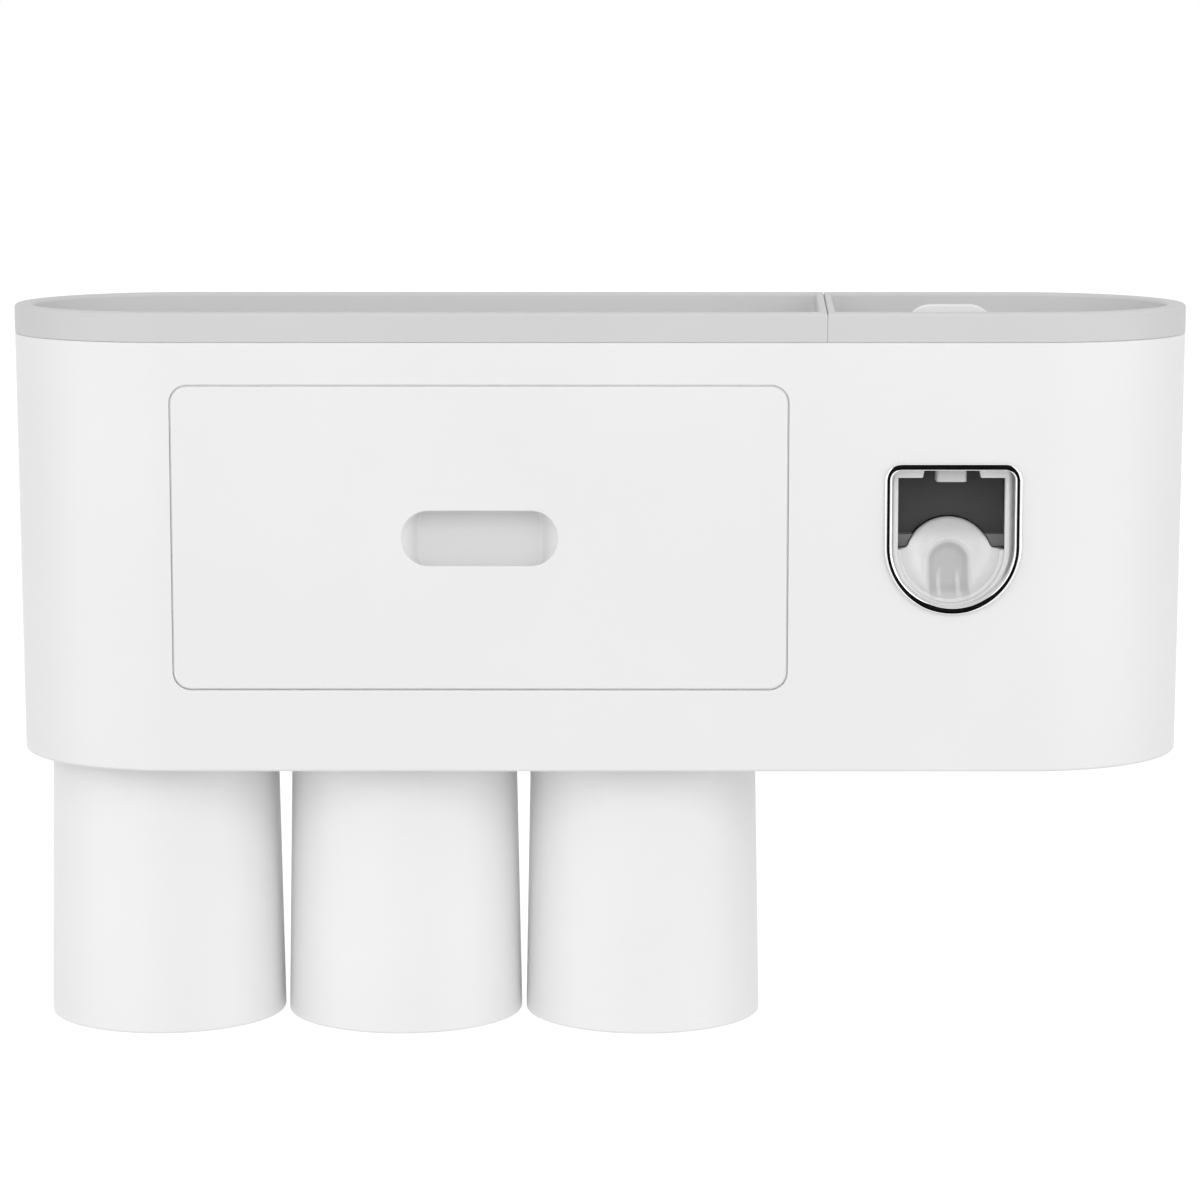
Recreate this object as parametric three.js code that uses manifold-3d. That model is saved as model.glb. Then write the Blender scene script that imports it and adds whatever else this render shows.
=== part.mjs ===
// Wall-mounted toothbrush holder: drawer, hanging cups and a push-operated toothpaste dispenser.
// Millimetres. X runs to the right as seen from the room, Y into the wall and Z up.
// The wall is the plane Y = 0, and the origin is the middle of the adhesive sheet's wall side.
import * as THREE from "three";
import { mergeVertices } from "three/addons/utils/BufferGeometryUtils.js";
import Module from "manifold-3d";

const wasm = await Module();
wasm.setup();

// Driving dimensions: housing
const WIDTH = 360;
const DEPTH = 102;
const HEIGHT = 138; // top of the rim to the lower edge of the skirt
const RIM_ABOVE_ORIGIN = 40;
const SHELL_WALL = 2.5;
const DRAFT = 0.008; // how far the shell leans in per millimetre of drop
const SKIRT = 11.5; // the part of the shell below the base plate
const BASE_THICK = 2.5;

// Driving dimensions: trays
const RIM_HEIGHT = 8.5;
const RIM_WIDTH = 5.6;
const TRAY_DROP = 17.5; // top of the rim to the underside of a tray
const TRAY_FLOOR = 2;
const TRAY_END_WALL = 2.4;
const BAY_LENGTH = 112.5; // right-hand end of the housing to the front end of the seam between the trays
const SEAM_SLANT = 4; // how far the seam runs to the right from front to rear

// Driving dimensions: drawer
const DRAWER_FROM_END = 52.5; // left-hand end of the housing to the drawer's edge
const DRAWER_FROM_SEAM = 11.7;
const DRAWER_FROM_TOP = 21.9;
const DRAWER_FROM_SKIRT = 25.3;
const DRAWER_REAR_SPACE = 8.5;
const DRAWER_CORNER = 5;
const PANEL_THICK = 2.5;
const BOX_WALL = 1.8;
const BOX_INSET = 4; // edge of the panel to the side of the box
const BOX_FREEBOARD = 4.1; // top edge of the panel to the top edge of the box
const PULL_LENGTH = 47;
const PULL_HEIGHT = 16.5;
const PULL_DEPTH = 9;
const PULL_SLOPE_ENDS = 5;
const PULL_SLOPE_SIDES = 0.6;
const PULL_WALL = 1.8;
const RUNNER_WALL = 2;
const RUNNER_LIP = 10;
const DIVIDER_THICK = 2.5;

// Driving dimensions: cups and their magnets
const CUP_FROM_END = 44.4; // left-hand end of the housing to the axis of the first cup
const CUP_PITCH = 74.5;
const CUP_LENGTH = 95.3;
const CUP_END_RADIUS = 34.8;
const CUP_MOUTH_RADIUS = 36.6;
const CUP_WALL = 1.9;
const CUP_END_THICK = 2.4;
const CUP_EDGE_ROUND = 3;
const DISC_RADIUS = 12.6;
const DISC_THICK = 1.2;
const COVER_THICK = 0.8;
const MAGNET_RADIUS = 10;
const MAGNET_THICK = 3;
const MAGNET_RING = 1.7;
const CAP_THICK = 1.4;

// Driving dimensions: toothbrush slots
const SLOT_COUNT = 4;
const SLOT_PITCH = 22.5;
const SLOT_FROM_SEAM = 16.5;
const SLOT_HEAD_WIDTH = 17;
const SLOT_HEAD_LENGTH = 24;
const SLOT_NECK_WIDTH = 7.6;
const SLOT_NECK_LENGTH = 26;

// Driving dimensions: dispenser window and cartridge
const DISPENSER_FROM_END = 74.7; // right-hand end of the housing to the middle of the window
const WINDOW_FROM_TOP = 44.7;
const BEZEL_HALF_WIDTH = 20.4;
const BEZEL_STRAIGHT = 24.9; // top of the bezel to the centre of its round bottom
const BEZEL_CORNER = 4;
const BEZEL_LIP = 2.1;
const BEZEL_PROUD = 1;
const SLEEVE_WALL = 1;
const CASE_HALF_WIDTH = 19;
const CASE_DROP = 2; // centre of the window's round bottom to that of the case
const CASE_WALL = 2;
const CASE_REAR_SPACE = 11.5; // rear end of the case to the back wall of the shell
const FLANGE_WIDTH = 3.5;
const FLANGE_THICK = 2;
const FRONT_LIP = 1; // how far the case's front wall reaches in past its side walls
const FRONT_DROP = 5; // top of the bezel to the lower edge of the case's front wall
const NOTCH_HALF_WIDTH = 8.7;
const WELL_FRONT = 34; // front of the case to the opening for the toothpaste tube
const WELL_MARGIN = 1.5;
const WELL_CORNER = 6;
const TAB_FROM_FRONT = 14.6; // front of the case to the lift tab
const TAB_HALF_WIDTH = 13;
const TAB_TOP_HALF_WIDTH = 7;
const TAB_SHOULDER = 3.2;
const TAB_THICK = 2.5;
const TAB_ABOVE_RIM = 1.2;
const DECK_THICK = 2.5;
const DECK_LEDGE = 1.8;
const DECK_LEDGE_THICK = 2.2;

// Driving dimensions: pump and pusher
const PUSH_TRAVEL = 12;
const BOWL_LENGTH = 10.5;
const BOWL_WALL = 1.6;
const BOWL_TAPER = 1.2;
const BOWL_INSIDE_TAPER = 3.5;
const BOWL_RIM_DROP = 0.2; // centre of the case's round bottom to the rim of the bowl
const BOWL_END_THICK = 3;
const DOME_RADIUS = 13.2;
const DOME_RISE = 9; // rim of the bowl to the top of the dome
const NICHE_HALF_WIDTH = 7.1;
const NICHE_DEPTH = 2;
const NICHE_DROP = 6.3; // top of the dome to the top of the niche
const PLUNGER_DROP = 7.4; // centre of the window's round bottom to the plunger's axis
const BOSS_RADIUS = 5;
const BOSS_LENGTH = 4;
const ROD_RADIUS = 2.6;
const HEAD_RADIUS = 5.5;
const HEAD_LENGTH = 4;
const HEAD_FROM_PLATE = 5;
const SEAL_WIDTH = 1.6;
const SEAL_DEPTH = 1;
const BARREL_BORE = 6;
const BARREL_WALL = 2;
const BARREL_SPARE = 4; // left behind the plunger's head when it is pushed in
const PLATE_THICK = 3;
const FACE_THICK = 1.6; // dark face behind the pusher
const GUIDE_WIDTH = 6.2;
const GUIDE_HEIGHT = 3.7;
const CHEEK_THICK = 1;
const INLET_FROM_END = 11; // rear end of the barrel to the inlet's axis
const INLET_RADIUS = 4.5;
const DUCT_RADIUS = 2.2;
const BLOCK_THICK = 9;
const BLOCK_HEIGHT = 27.5;
const PIPE_RADIUS = 2.5;
const PIPE_BORE = 1.5;
const PIPE_OFFSET = 10.5; // middle of the dispenser to the pipe's straight run
const PIPE_BELOW_DECK = 3.2;
const NOZZLE_HALF_WIDTH = 4.5;
const NOZZLE_LENGTH = 9;
const NOZZLE_HEIGHT = 6;
const NOZZLE_FROM_FRONT = 0.8;
const NOZZLE_CORNER = 1.5;
const VALVE_RADIUS = 2.9;
const VALVE_THICK = 0.9;
const SPRING_RADIUS = 6.4;
const SPRING_WIRE = 0.4;
const SPRING_CURLS = 8;
const SOCKET_FLANGE = 11;
const SOCKET_FLANGE_THICK = 2;
const SOCKET_SPIGOT = 5.3;
const SOCKET_HEIGHT = 10;
const SOCKET_MOUTH = 8.5;
const SOCKET_WALL = 2;
const RING_WALL = 2;

// Driving dimensions: wall bracket and screws
const SHEET_LENGTH = 196;
const SHEET_HEIGHT = 42;
const SHEET_THICK = 1;
const BRACKET_MARGIN = 2;
const BRACKET_THICK = 2.5;
const BRACKET_CORNER = 4;
const HOOK_FROM_SEAM = 20;
const HOOK_WIDTH = 20;
const HOOK_NECK = 4;
const HOOK_LIP = 6;
const HOOK_LIP_THICK = 2.5;
const HOOK_ABOVE_ORIGIN = 8;
const BASE_BOSS_RADIUS = 4;
const BASE_BOSS_HEIGHT = 10;
const SCREW_RADIUS = 1.4;
const SCREW_LENGTH = 9;
const SCREW_HEAD_RADIUS = 2.9;
const SCREW_HEAD_THICK = 1.8;
const SCREW_CROSS_WIDTH = 0.9;
const SCREW_CROSS_DEPTH = 1;
const COVER_SCREW_HEIGHTS = [8, 23]; // below the case's flange
const COVER_BOSS_RADIUS = 3;
const COVER_BOSS_LENGTH = 11;

// Clearances
const SEAT = 0.3; // between pieces that rest on or fit into each other
const RUNNING = 0.5; // between the drawer and the shell, and around the case
const SEAM_GAP = 0.4;
const THREAD = 0.15; // between a screw and its pilot hole
const OVERCUT = 1; // how far a cutter runs past the face it cuts
const BITE = 1; // how deep a rib or boss is sunk into its wall

// Derived positions
const WALL_GAP = SHEET_THICK + BRACKET_THICK + SEAT;
const FRONT_Y = -(WALL_GAP + DEPTH);
const MID_Y = -(WALL_GAP + DEPTH / 2);
const END_RADIUS = DEPTH / 2;
const END_X = WIDTH / 2 - END_RADIUS;
const SEAM_X = WIDTH / 2 - BAY_LENGTH;
const TRAY_FLOOR_TOP = TRAY_DROP - TRAY_FLOOR;
const BASE_UNDER = HEIGHT - SKIRT;
const BASE_TOP = BASE_UNDER - BASE_THICK;
const DRAWER_LEFT = -WIDTH / 2 + DRAWER_FROM_END;
const DRAWER_RIGHT = SEAM_X - DRAWER_FROM_SEAM;
const DRAWER_MID_X = (DRAWER_LEFT + DRAWER_RIGHT) / 2;
const DRAWER_BOTTOM = HEIGHT - DRAWER_FROM_SKIRT;
const BOX_BOTTOM = DRAWER_BOTTOM - BOX_FREEBOARD;
const CUP_TOP = BASE_UNDER + SEAT;
const DISPENSER_X = WIDTH / 2 - DISPENSER_FROM_END;
const WINDOW_CENTRE = WINDOW_FROM_TOP + BEZEL_STRAIGHT;
const CASE_CENTRE = WINDOW_CENTRE + CASE_DROP;
const CASE_FRONT = RIM_WIDTH + RUNNING;
const CASE_END = DEPTH - SHELL_WALL - CASE_REAR_SPACE;
const CASE_INNER = CASE_HALF_WIDTH - CASE_WALL;
const FLANGE_UNDER = TRAY_FLOOR_TOP - SEAT;
const FLANGE_TOP = FLANGE_UNDER - FLANGE_THICK;
const BACK_FRONT = CASE_END + SEAT;
const BACK_REAR = BACK_FRONT + CASE_WALL;
const DECK_UNDER = WINDOW_FROM_TOP;
const DECK_TOP = DECK_UNDER - DECK_THICK;
const BLOCK_REAR = CASE_END - SEAT;
const BLOCK_FRONT = BLOCK_REAR - BLOCK_THICK;
const BARREL_END = BLOCK_FRONT - SEAT;
const BARREL_LENGTH = HEAD_FROM_PLATE + HEAD_LENGTH + PUSH_TRAVEL + BARREL_SPARE;
const PLATE_REAR = BARREL_END - BARREL_LENGTH;
const PLATE_FRONT = PLATE_REAR - PLATE_THICK;
const BOWL_FRONT = CASE_FRONT + CASE_WALL + RUNNING;
const BOWL_END = BOWL_FRONT + BOWL_LENGTH;
const BOWL_RIM = CASE_CENTRE + BOWL_RIM_DROP;
const DOME_TOP = BOWL_RIM - DOME_RISE;
const DOME_AXIS = DOME_TOP + DOME_RADIUS;
const FACE_FRONT = BOWL_END + RUNNING;
const PLUNGER_AXIS = WINDOW_CENTRE + PLUNGER_DROP;
const INLET_AT = BARREL_END - INLET_FROM_END;
const PIPE_DROP = DECK_UNDER + PIPE_BELOW_DECK;
const NOZZLE_FRONT = CASE_FRONT + NOZZLE_FROM_FRONT;
const NOZZLE_MID = NOZZLE_FRONT + NOZZLE_LENGTH / 2;
const NOZZLE_REAR = NOZZLE_FRONT + NOZZLE_LENGTH;
const NOZZLE_TOP = DECK_UNDER + SEAT;
const NOZZLE_BOTTOM = NOZZLE_TOP + NOZZLE_HEIGHT;
const HOOK_X = SEAM_X - HOOK_FROM_SEAM;

// Heights are measured down from the top of the rim and depths back from the front of the rim.
const below = (drop) => RIM_ABOVE_ORIGIN - drop;
const behind = (depth) => FRONT_Y + depth;
const leanAt = (z) => DRAFT * (RIM_ABOVE_ORIGIN - z);

// Solids and booleans
function solidOf(geometry) {
  const bare = geometry.index ? geometry.toNonIndexed() : geometry.clone();
  bare.deleteAttribute("normal");
  bare.deleteAttribute("uv");
  const merged = mergeVertices(bare, 1e-4);
  const triVerts = new Uint32Array(merged.index.array);
  return new wasm.Manifold(
    new wasm.Mesh({ numProp: 3, vertProperties: merged.attributes.position.array, triVerts }),
  );
}

function geometryOf(solid) {
  const mesh = solid.getMesh();
  const geometry = new THREE.BufferGeometry();
  geometry.setAttribute("position", new THREE.BufferAttribute(new Float32Array(mesh.vertProperties), 3));
  geometry.setIndex(new THREE.BufferAttribute(new Uint32Array(mesh.triVerts), 1));
  geometry.computeVertexNormals();
  return geometry;
}

const joined = (...solids) => solids.reduce((whole, solid) => whole.add(solid));
const cut = (solid, ...cutters) => cutters.reduce((rest, cutter) => rest.subtract(cutter), solid);

// Outlines
function roundedRect(x0, y0, x1, y1, radius) {
  const shape = new THREE.Shape();
  shape.moveTo(x0 + radius, y0);
  shape.lineTo(x1 - radius, y0);
  shape.absarc(x1 - radius, y0 + radius, radius, -Math.PI / 2, 0, false);
  shape.lineTo(x1, y1 - radius);
  shape.absarc(x1 - radius, y1 - radius, radius, 0, Math.PI / 2, false);
  shape.lineTo(x0 + radius, y1);
  shape.absarc(x0 + radius, y1 - radius, radius, Math.PI / 2, Math.PI, false);
  shape.lineTo(x0, y0 + radius);
  shape.absarc(x0 + radius, y0 + radius, radius, Math.PI, Math.PI * 1.5, false);
  return shape;
}

function stadium(inset) {
  const radius = END_RADIUS - inset;
  const shape = new THREE.Shape();
  shape.moveTo(-END_X, MID_Y - radius);
  shape.lineTo(END_X, MID_Y - radius);
  shape.absarc(END_X, MID_Y, radius, -Math.PI / 2, Math.PI / 2, false);
  shape.lineTo(-END_X, MID_Y + radius);
  shape.absarc(-END_X, MID_Y, radius, Math.PI / 2, Math.PI * 1.5, false);
  return shape;
}

// One end of the stadium, cut off at the seam
function trayOutline(side, inset, seam) {
  const radius = END_RADIUS - inset;
  const seamAt = (y) => side * (seam + SEAM_SLANT * (y - FRONT_Y) / DEPTH);
  const shape = new THREE.Shape();
  shape.moveTo(seamAt(MID_Y - radius), MID_Y - radius);
  shape.lineTo(END_X, MID_Y - radius);
  shape.absarc(END_X, MID_Y, radius, -Math.PI / 2, Math.PI / 2, false);
  shape.lineTo(seamAt(MID_Y + radius), MID_Y + radius);
  const points = shape.getPoints(ROUND);
  return new THREE.Shape(points.map((point) => new THREE.Vector2(side * point.x, point.y)));
}

// Flat top with corners cut by a small bevel, straight sides and a semicircular bottom
function uShape(x, top, centre, half, corner = 0) {
  const shape = new THREE.Shape();
  shape.moveTo(x - half, centre);
  shape.absarc(x, centre, half, Math.PI, Math.PI * 2, false);
  shape.lineTo(x + half, top - corner);
  if (corner > 0) {
    shape.lineTo(x + half - corner * 0.3, top - corner * 0.3);
    shape.lineTo(x + half - corner, top);
    shape.lineTo(x - half + corner, top);
    shape.lineTo(x - half + corner * 0.3, top - corner * 0.3);
  } else {
    shape.lineTo(x + half, top);
    shape.lineTo(x - half, top);
  }
  shape.lineTo(x - half, top - corner);
  return shape;
}

const disc = (x, y, radius) => new THREE.Shape().absarc(x, y, radius, 0, Math.PI * 2, false);

// Bodies from outlines; the curve detail is the number of steps in half an arc
const ROUND = 11;
const PLAIN = 7;
const COARSE = 3;

function upright(shape, low, high, detail = COARSE) {
  const geometry = new THREE.ExtrudeGeometry(
    shape, { depth: high - low, bevelEnabled: false, curveSegments: detail },
  );
  return geometry.translate(0, 0, low);
}

// Drawn in X and Z, and run along Y from the nearer to the farther depth
function through(shape, near, far, detail = COARSE) {
  const geometry = new THREE.ExtrudeGeometry(
    shape, { depth: far - near, bevelEnabled: false, curveSegments: detail },
  );
  return geometry.rotateX(Math.PI / 2).translate(0, behind(far), 0);
}

function box(x0, x1, y0, y1, z0, z1) {
  const geometry = new THREE.BoxGeometry(x1 - x0, y1 - y0, z1 - z0);
  return solidOf(geometry.translate((x0 + x1) / 2, (y0 + y1) / 2, (z0 + z1) / 2));
}

const pillar = (x, y, radius, low, high, detail = PLAIN) => solidOf(
  upright(disc(x, y, radius), low, high, detail),
);
const shaft = (x, z, radius, near, far, detail = PLAIN) => solidOf(
  through(disc(x, z, radius), near, far, detail),
);

// Turned about an upright axis; the profile lists radius and height
function turned(x, y, profile, segments) {
  const points = profile.map(([radius, height]) => new THREE.Vector2(radius, height));
  const geometry = new THREE.LatheGeometry(points, segments);
  return solidOf(geometry.rotateX(Math.PI / 2).translate(x, y, 0));
}

// Turned about an axis along Y; the profile lists radius and depth
function turnedAlong(x, z, profile, segments) {
  const points = profile.map(([radius, depth]) => new THREE.Vector2(radius, behind(depth)));
  return solidOf(new THREE.LatheGeometry(points, segments).translate(x, 0, z));
}

// Leans every wall in with the shell's draft, so pieces in its front stay flush
function drafted(geometry) {
  const place = geometry.attributes.position;
  for (let i = 0; i < place.count; i += 1) {
    const spineX = THREE.MathUtils.clamp(place.getX(i), -END_X, END_X);
    const out = new THREE.Vector2(place.getX(i) - spineX, place.getY(i) - MID_Y);
    out.setLength(out.length() - leanAt(place.getZ(i)));
    place.setXY(i, spineX + out.x, MID_Y + out.y);
  }
  return geometry;
}

// Shell
const hookXs = [-HOOK_X, HOOK_X];
const slotTop = HOOK_ABOVE_ORIGIN + SEAT;
const slotBottom = HOOK_ABOVE_ORIGIN - HOOK_NECK - HOOK_LIP - SEAT * 2;
const baseLean = leanAt(below(BASE_UNDER));
const bossReach = END_RADIUS - baseLean - SHELL_WALL + BITE - BASE_BOSS_RADIUS;
const bossPlaces = [-1, 1].flatMap((side) => [-1, 1].map((face) => [
  side * (END_X + bossReach * Math.cos(Math.PI / 3)),
  MID_Y + face * bossReach * Math.sin(Math.PI / 3),
]));
const bossBottom = below(BASE_TOP - SEAT);

function drawerOutline(grow) {
  const low = below(DRAWER_BOTTOM + grow);
  const high = below(DRAWER_FROM_TOP - grow);
  return roundedRect(DRAWER_LEFT - grow, low, DRAWER_RIGHT + grow, high, DRAWER_CORNER + grow);
}

function windowOutline(inset) {
  const top = below(WINDOW_FROM_TOP + inset);
  const corner = Math.max(BEZEL_CORNER - inset, 1);
  return uShape(DISPENSER_X, top, below(WINDOW_CENTRE), BEZEL_HALF_WIDTH - inset, corner);
}

function outerShell() {
  const low = below(HEIGHT);
  const high = below(RIM_HEIGHT + SEAT);
  const outside = solidOf(drafted(upright(stadium(0), low, high, ROUND)));
  const inside = solidOf(drafted(upright(stadium(SHELL_WALL), low - OVERCUT, high + OVERCUT, ROUND)));
  const frontDepth = SHELL_WALL + leanAt(low) + OVERCUT;
  const drawerHole = solidOf(through(drawerOutline(RUNNING), -OVERCUT, frontDepth));
  const window = solidOf(
    through(windowOutline(BEZEL_LIP - SLEEVE_WALL - SEAT), -OVERCUT, frontDepth, ROUND),
  );
  const hookSlots = hookXs.map((x) => {
    const half = HOOK_WIDTH / 2 + RUNNING;
    return box(x - half, x + half, -WALL_GAP - frontDepth, -WALL_GAP + OVERCUT, slotBottom, slotTop);
  });
  const bosses = bossPlaces.map(
    ([x, y]) => pillar(x, y, BASE_BOSS_RADIUS, bossBottom, bossBottom + BASE_BOSS_HEIGHT),
  );
  const pilots = bossPlaces.map(([x, y]) => {
    return pillar(x, y, SCREW_RADIUS + THREAD, bossBottom - OVERCUT, bossBottom + SCREW_LENGTH);
  });
  return cut(joined(cut(outside, inside), ...bosses), drawerHole, window, ...hookSlots, ...pilots);
}

// Base plate with the toothbrush slots and the magnet pockets
const cupCount = 1 + Math.floor((SEAM_X + WIDTH / 2 - CUP_FROM_END - CUP_MOUTH_RADIUS) / CUP_PITCH);
const cupXs = Array.from({ length: cupCount }, (_, i) => -WIDTH / 2 + CUP_FROM_END + i * CUP_PITCH);
const slotXs = Array.from({ length: SLOT_COUNT }, (_, i) => SEAM_X + SLOT_FROM_SEAM + i * SLOT_PITCH);
const pocketRadius = MAGNET_RADIUS + SEAT;
const pocketTop = below(BASE_TOP) + MAGNET_THICK + SEAT * 2;

function brushSlot(x, low, high) {
  const start = MID_Y - (SLOT_HEAD_LENGTH + SLOT_NECK_LENGTH) / 2;
  const middle = start + SLOT_HEAD_LENGTH;
  const end = middle + SLOT_NECK_LENGTH;
  const headHalf = SLOT_HEAD_WIDTH / 2;
  const neckHalf = SLOT_NECK_WIDTH / 2;
  const head = roundedRect(x - headHalf, start, x + headHalf, middle, neckHalf);
  const neck = roundedRect(
    x - neckHalf, middle - SLOT_NECK_WIDTH * 1.5, x + neckHalf, end, neckHalf * 0.99,
  );
  return joined(solidOf(upright(head, low, high)), solidOf(upright(neck, low, high)));
}

function basePlate() {
  const low = below(BASE_UNDER);
  const high = below(BASE_TOP);
  const plate = solidOf(upright(stadium(SHELL_WALL + baseLean + SEAT), low, high, ROUND));
  const slots = slotXs.map((x) => brushSlot(x, low - OVERCUT, high + OVERCUT));
  const rings = cupXs.map((x) => cut(
    pillar(x, MID_Y, pocketRadius + MAGNET_RING, high - BITE, pocketTop),
    pillar(x, MID_Y, pocketRadius, high, pocketTop + OVERCUT),
  ));
  const holes = bossPlaces.map(
    ([x, y]) => pillar(x, y, SCREW_RADIUS + SEAT, low - OVERCUT, high + OVERCUT),
  );
  return cut(joined(plate, ...rings), ...slots, ...holes);
}

const housingMagnet = (x) => {
  const low = below(BASE_TOP) + SEAT;
  return pillar(x, MID_Y, MAGNET_RADIUS, low, low + MAGNET_THICK);
};

const magnetCap = (x) => {
  const low = pocketTop + SEAT;
  return pillar(x, MID_Y, pocketRadius + MAGNET_RING, low, low + CAP_THICK);
};

// Screws: a pan head with a cross recess; the tip points up, or along -Y for the cartridge's cover
function screwBody() {
  const profile = [
    [0, -SCREW_HEAD_THICK], [SCREW_HEAD_RADIUS * 0.7, -SCREW_HEAD_THICK],
    [SCREW_HEAD_RADIUS, -SCREW_HEAD_THICK * 0.5],
    [SCREW_HEAD_RADIUS, 0], [SCREW_RADIUS, 0],
    [SCREW_RADIUS, SCREW_LENGTH - SCREW_RADIUS], [0, SCREW_LENGTH],
  ];
  const half = SCREW_CROSS_WIDTH / 2;
  const reach = SCREW_HEAD_RADIUS * 0.6;
  const top = SCREW_CROSS_DEPTH - SCREW_HEAD_THICK;
  const foot = -SCREW_HEAD_THICK - OVERCUT;
  const cross = joined(
    box(-reach, reach, -half, half, foot, top), box(-half, half, -reach, reach, foot, top),
  );
  return cut(turned(0, 0, profile, 10), cross);
}

const baseScrew = ([x, y]) => screwBody().translate([x, y, below(BASE_UNDER) - SEAT]);
const coverScrew = ([x, z]) => screwBody().rotate([90, 0, 0]).translate([x, behind(BACK_REAR + SEAT), z]);

// Drawer runners and the divider beside the dispenser
function drawerRunner(side) {
  const edge = side < 0 ? DRAWER_LEFT + BOX_INSET : DRAWER_RIGHT - BOX_INSET;
  const shelfTop = below(BOX_BOTTOM + SEAT);
  const foot = below(BASE_TOP - SEAT);
  const outer = edge + side * (SEAT + RUNNER_WALL);
  const inner = edge - side * RUNNER_LIP;
  const web = inner + side * RUNNER_WALL;
  const shape = new THREE.Shape();
  shape.moveTo(inner, foot);
  shape.lineTo(web, foot);
  shape.lineTo(web, shelfTop - RUNNER_WALL);
  shape.lineTo(outer, shelfTop - RUNNER_WALL);
  shape.lineTo(outer, shelfTop + RUNNER_LIP);
  shape.lineTo(edge + side * SEAT, shelfTop + RUNNER_LIP);
  shape.lineTo(edge + side * SEAT, shelfTop);
  shape.lineTo(inner, shelfTop);
  const margin = SHELL_WALL + leanAt(below(HEIGHT)) + SEAT;
  return solidOf(through(shape, margin, DEPTH - margin));
}

function bayDivider() {
  const margin = SHELL_WALL + leanAt(below(HEIGHT)) + SEAT;
  const half = DIVIDER_THICK / 2;
  const low = below(BASE_TOP - SEAT);
  const high = below(TRAY_DROP + SEAT);
  return box(SEAM_X - half, SEAM_X + half, behind(margin), behind(DEPTH - margin), low, high);
}

// Trays
function trayBody(side) {
  const seam = SEAM_X + side * SEAM_GAP / 2;
  const basinInset = SHELL_WALL + leanAt(below(TRAY_DROP)) + SEAT;
  const rim = upright(trayOutline(side, 0, seam), below(RIM_HEIGHT), below(0));
  const basin = upright(trayOutline(side, basinInset, seam), below(TRAY_DROP), below(RIM_HEIGHT / 2));
  const inside = trayOutline(side, RIM_WIDTH, seam + side * TRAY_END_WALL);
  const hollow = upright(inside, below(TRAY_FLOOR_TOP), below(-OVERCUT));
  return cut(joined(solidOf(rim), solidOf(basin)), solidOf(hollow));
}

const storageTray = () => trayBody(-1);

function bayTray() {
  const half = CASE_HALF_WIDTH + RUNNING;
  const near = behind(RIM_WIDTH - SEAT);
  const far = behind(BACK_REAR + SCREW_HEAD_THICK + RUNNING * 2);
  const low = below(TRAY_DROP + OVERCUT);
  const high = below(TRAY_FLOOR_TOP - SEAT);
  return cut(trayBody(1), box(DISPENSER_X - half, DISPENSER_X + half, near, far, low, high));
}

// Drawer
function pullBody(grow, near, far) {
  const halfLength = PULL_LENGTH / 2 + grow;
  const halfHeight = PULL_HEIGHT / 2 + grow;
  const outline = roundedRect(-halfLength, -halfHeight, halfLength, halfHeight, halfHeight * 0.99);
  const geometry = through(outline, near, far);
  const place = geometry.attributes.position;
  for (let i = 0; i < place.count; i += 1) {
    const atRear = place.getY(i) > behind((near + far) / 2);
    const narrow = atRear ? 1 - PULL_SLOPE_ENDS / halfLength : 1;
    const flat = atRear ? 1 - PULL_SLOPE_SIDES / halfHeight : 1;
    place.setX(i, place.getX(i) * narrow);
    place.setZ(i, place.getZ(i) * flat);
  }
  return solidOf(geometry.translate(DRAWER_MID_X, 0, below((DRAWER_FROM_TOP + DRAWER_BOTTOM) / 2)));
}

const boxLeft = DRAWER_LEFT + BOX_INSET;
const boxRight = DRAWER_RIGHT - BOX_INSET;
const boxTop = below(DRAWER_FROM_TOP + BOX_FREEBOARD);
const boxFront = PANEL_THICK + leanAt(below(DRAWER_BOTTOM)) + SEAT;
const boxRear = DEPTH - SHELL_WALL - DRAWER_REAR_SPACE;

function drawerFront() {
  const panel = solidOf(drafted(through(drawerOutline(0), 0, PANEL_THICK)));
  const lean = leanAt(below((DRAWER_FROM_TOP + DRAWER_BOTTOM) / 2));
  const pocketBack = lean + PULL_DEPTH;
  const shell = pullBody(PULL_WALL, lean + PANEL_THICK / 2, pocketBack + PULL_WALL);
  const pocket = pullBody(0, lean - PANEL_THICK / 4, pocketBack);
  const mouth = pullBody(0, -OVERCUT, pocketBack * 2);
  const inset = BOX_WALL + SEAT;
  const ringOuter = roundedRect(
    boxLeft + inset, below(BOX_BOTTOM - inset), boxRight - inset, boxTop - BITE, BITE,
  );
  const hole = BOX_WALL + inset;
  const ringInner = roundedRect(
    boxLeft + hole, below(BOX_BOTTOM - hole), boxRight - hole, boxTop - BITE - BOX_WALL, BITE,
  );
  ringOuter.holes.push(ringInner);
  const ring = solidOf(through(ringOuter, boxFront - BITE - SEAT, boxFront + BOX_INSET));
  const slab = box(
    DRAWER_LEFT, DRAWER_RIGHT, behind(-OVERCUT), behind(lean + PANEL_THICK / 4), below(HEIGHT), below(0),
  );
  return cut(joined(panel, shell, ring), pocket, mouth.intersect(slab));
}

function drawerBox() {
  const low = below(BOX_BOTTOM);
  const outside = box(boxLeft, boxRight, behind(boxFront), behind(boxRear), low, boxTop);
  const innerRear = behind(boxRear - BOX_WALL);
  const innerLeft = boxLeft + BOX_WALL;
  const innerRight = boxRight - BOX_WALL;
  return cut(outside, box(innerLeft, innerRight, behind(0), innerRear, low + BOX_WALL, boxTop + OVERCUT));
}

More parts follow.
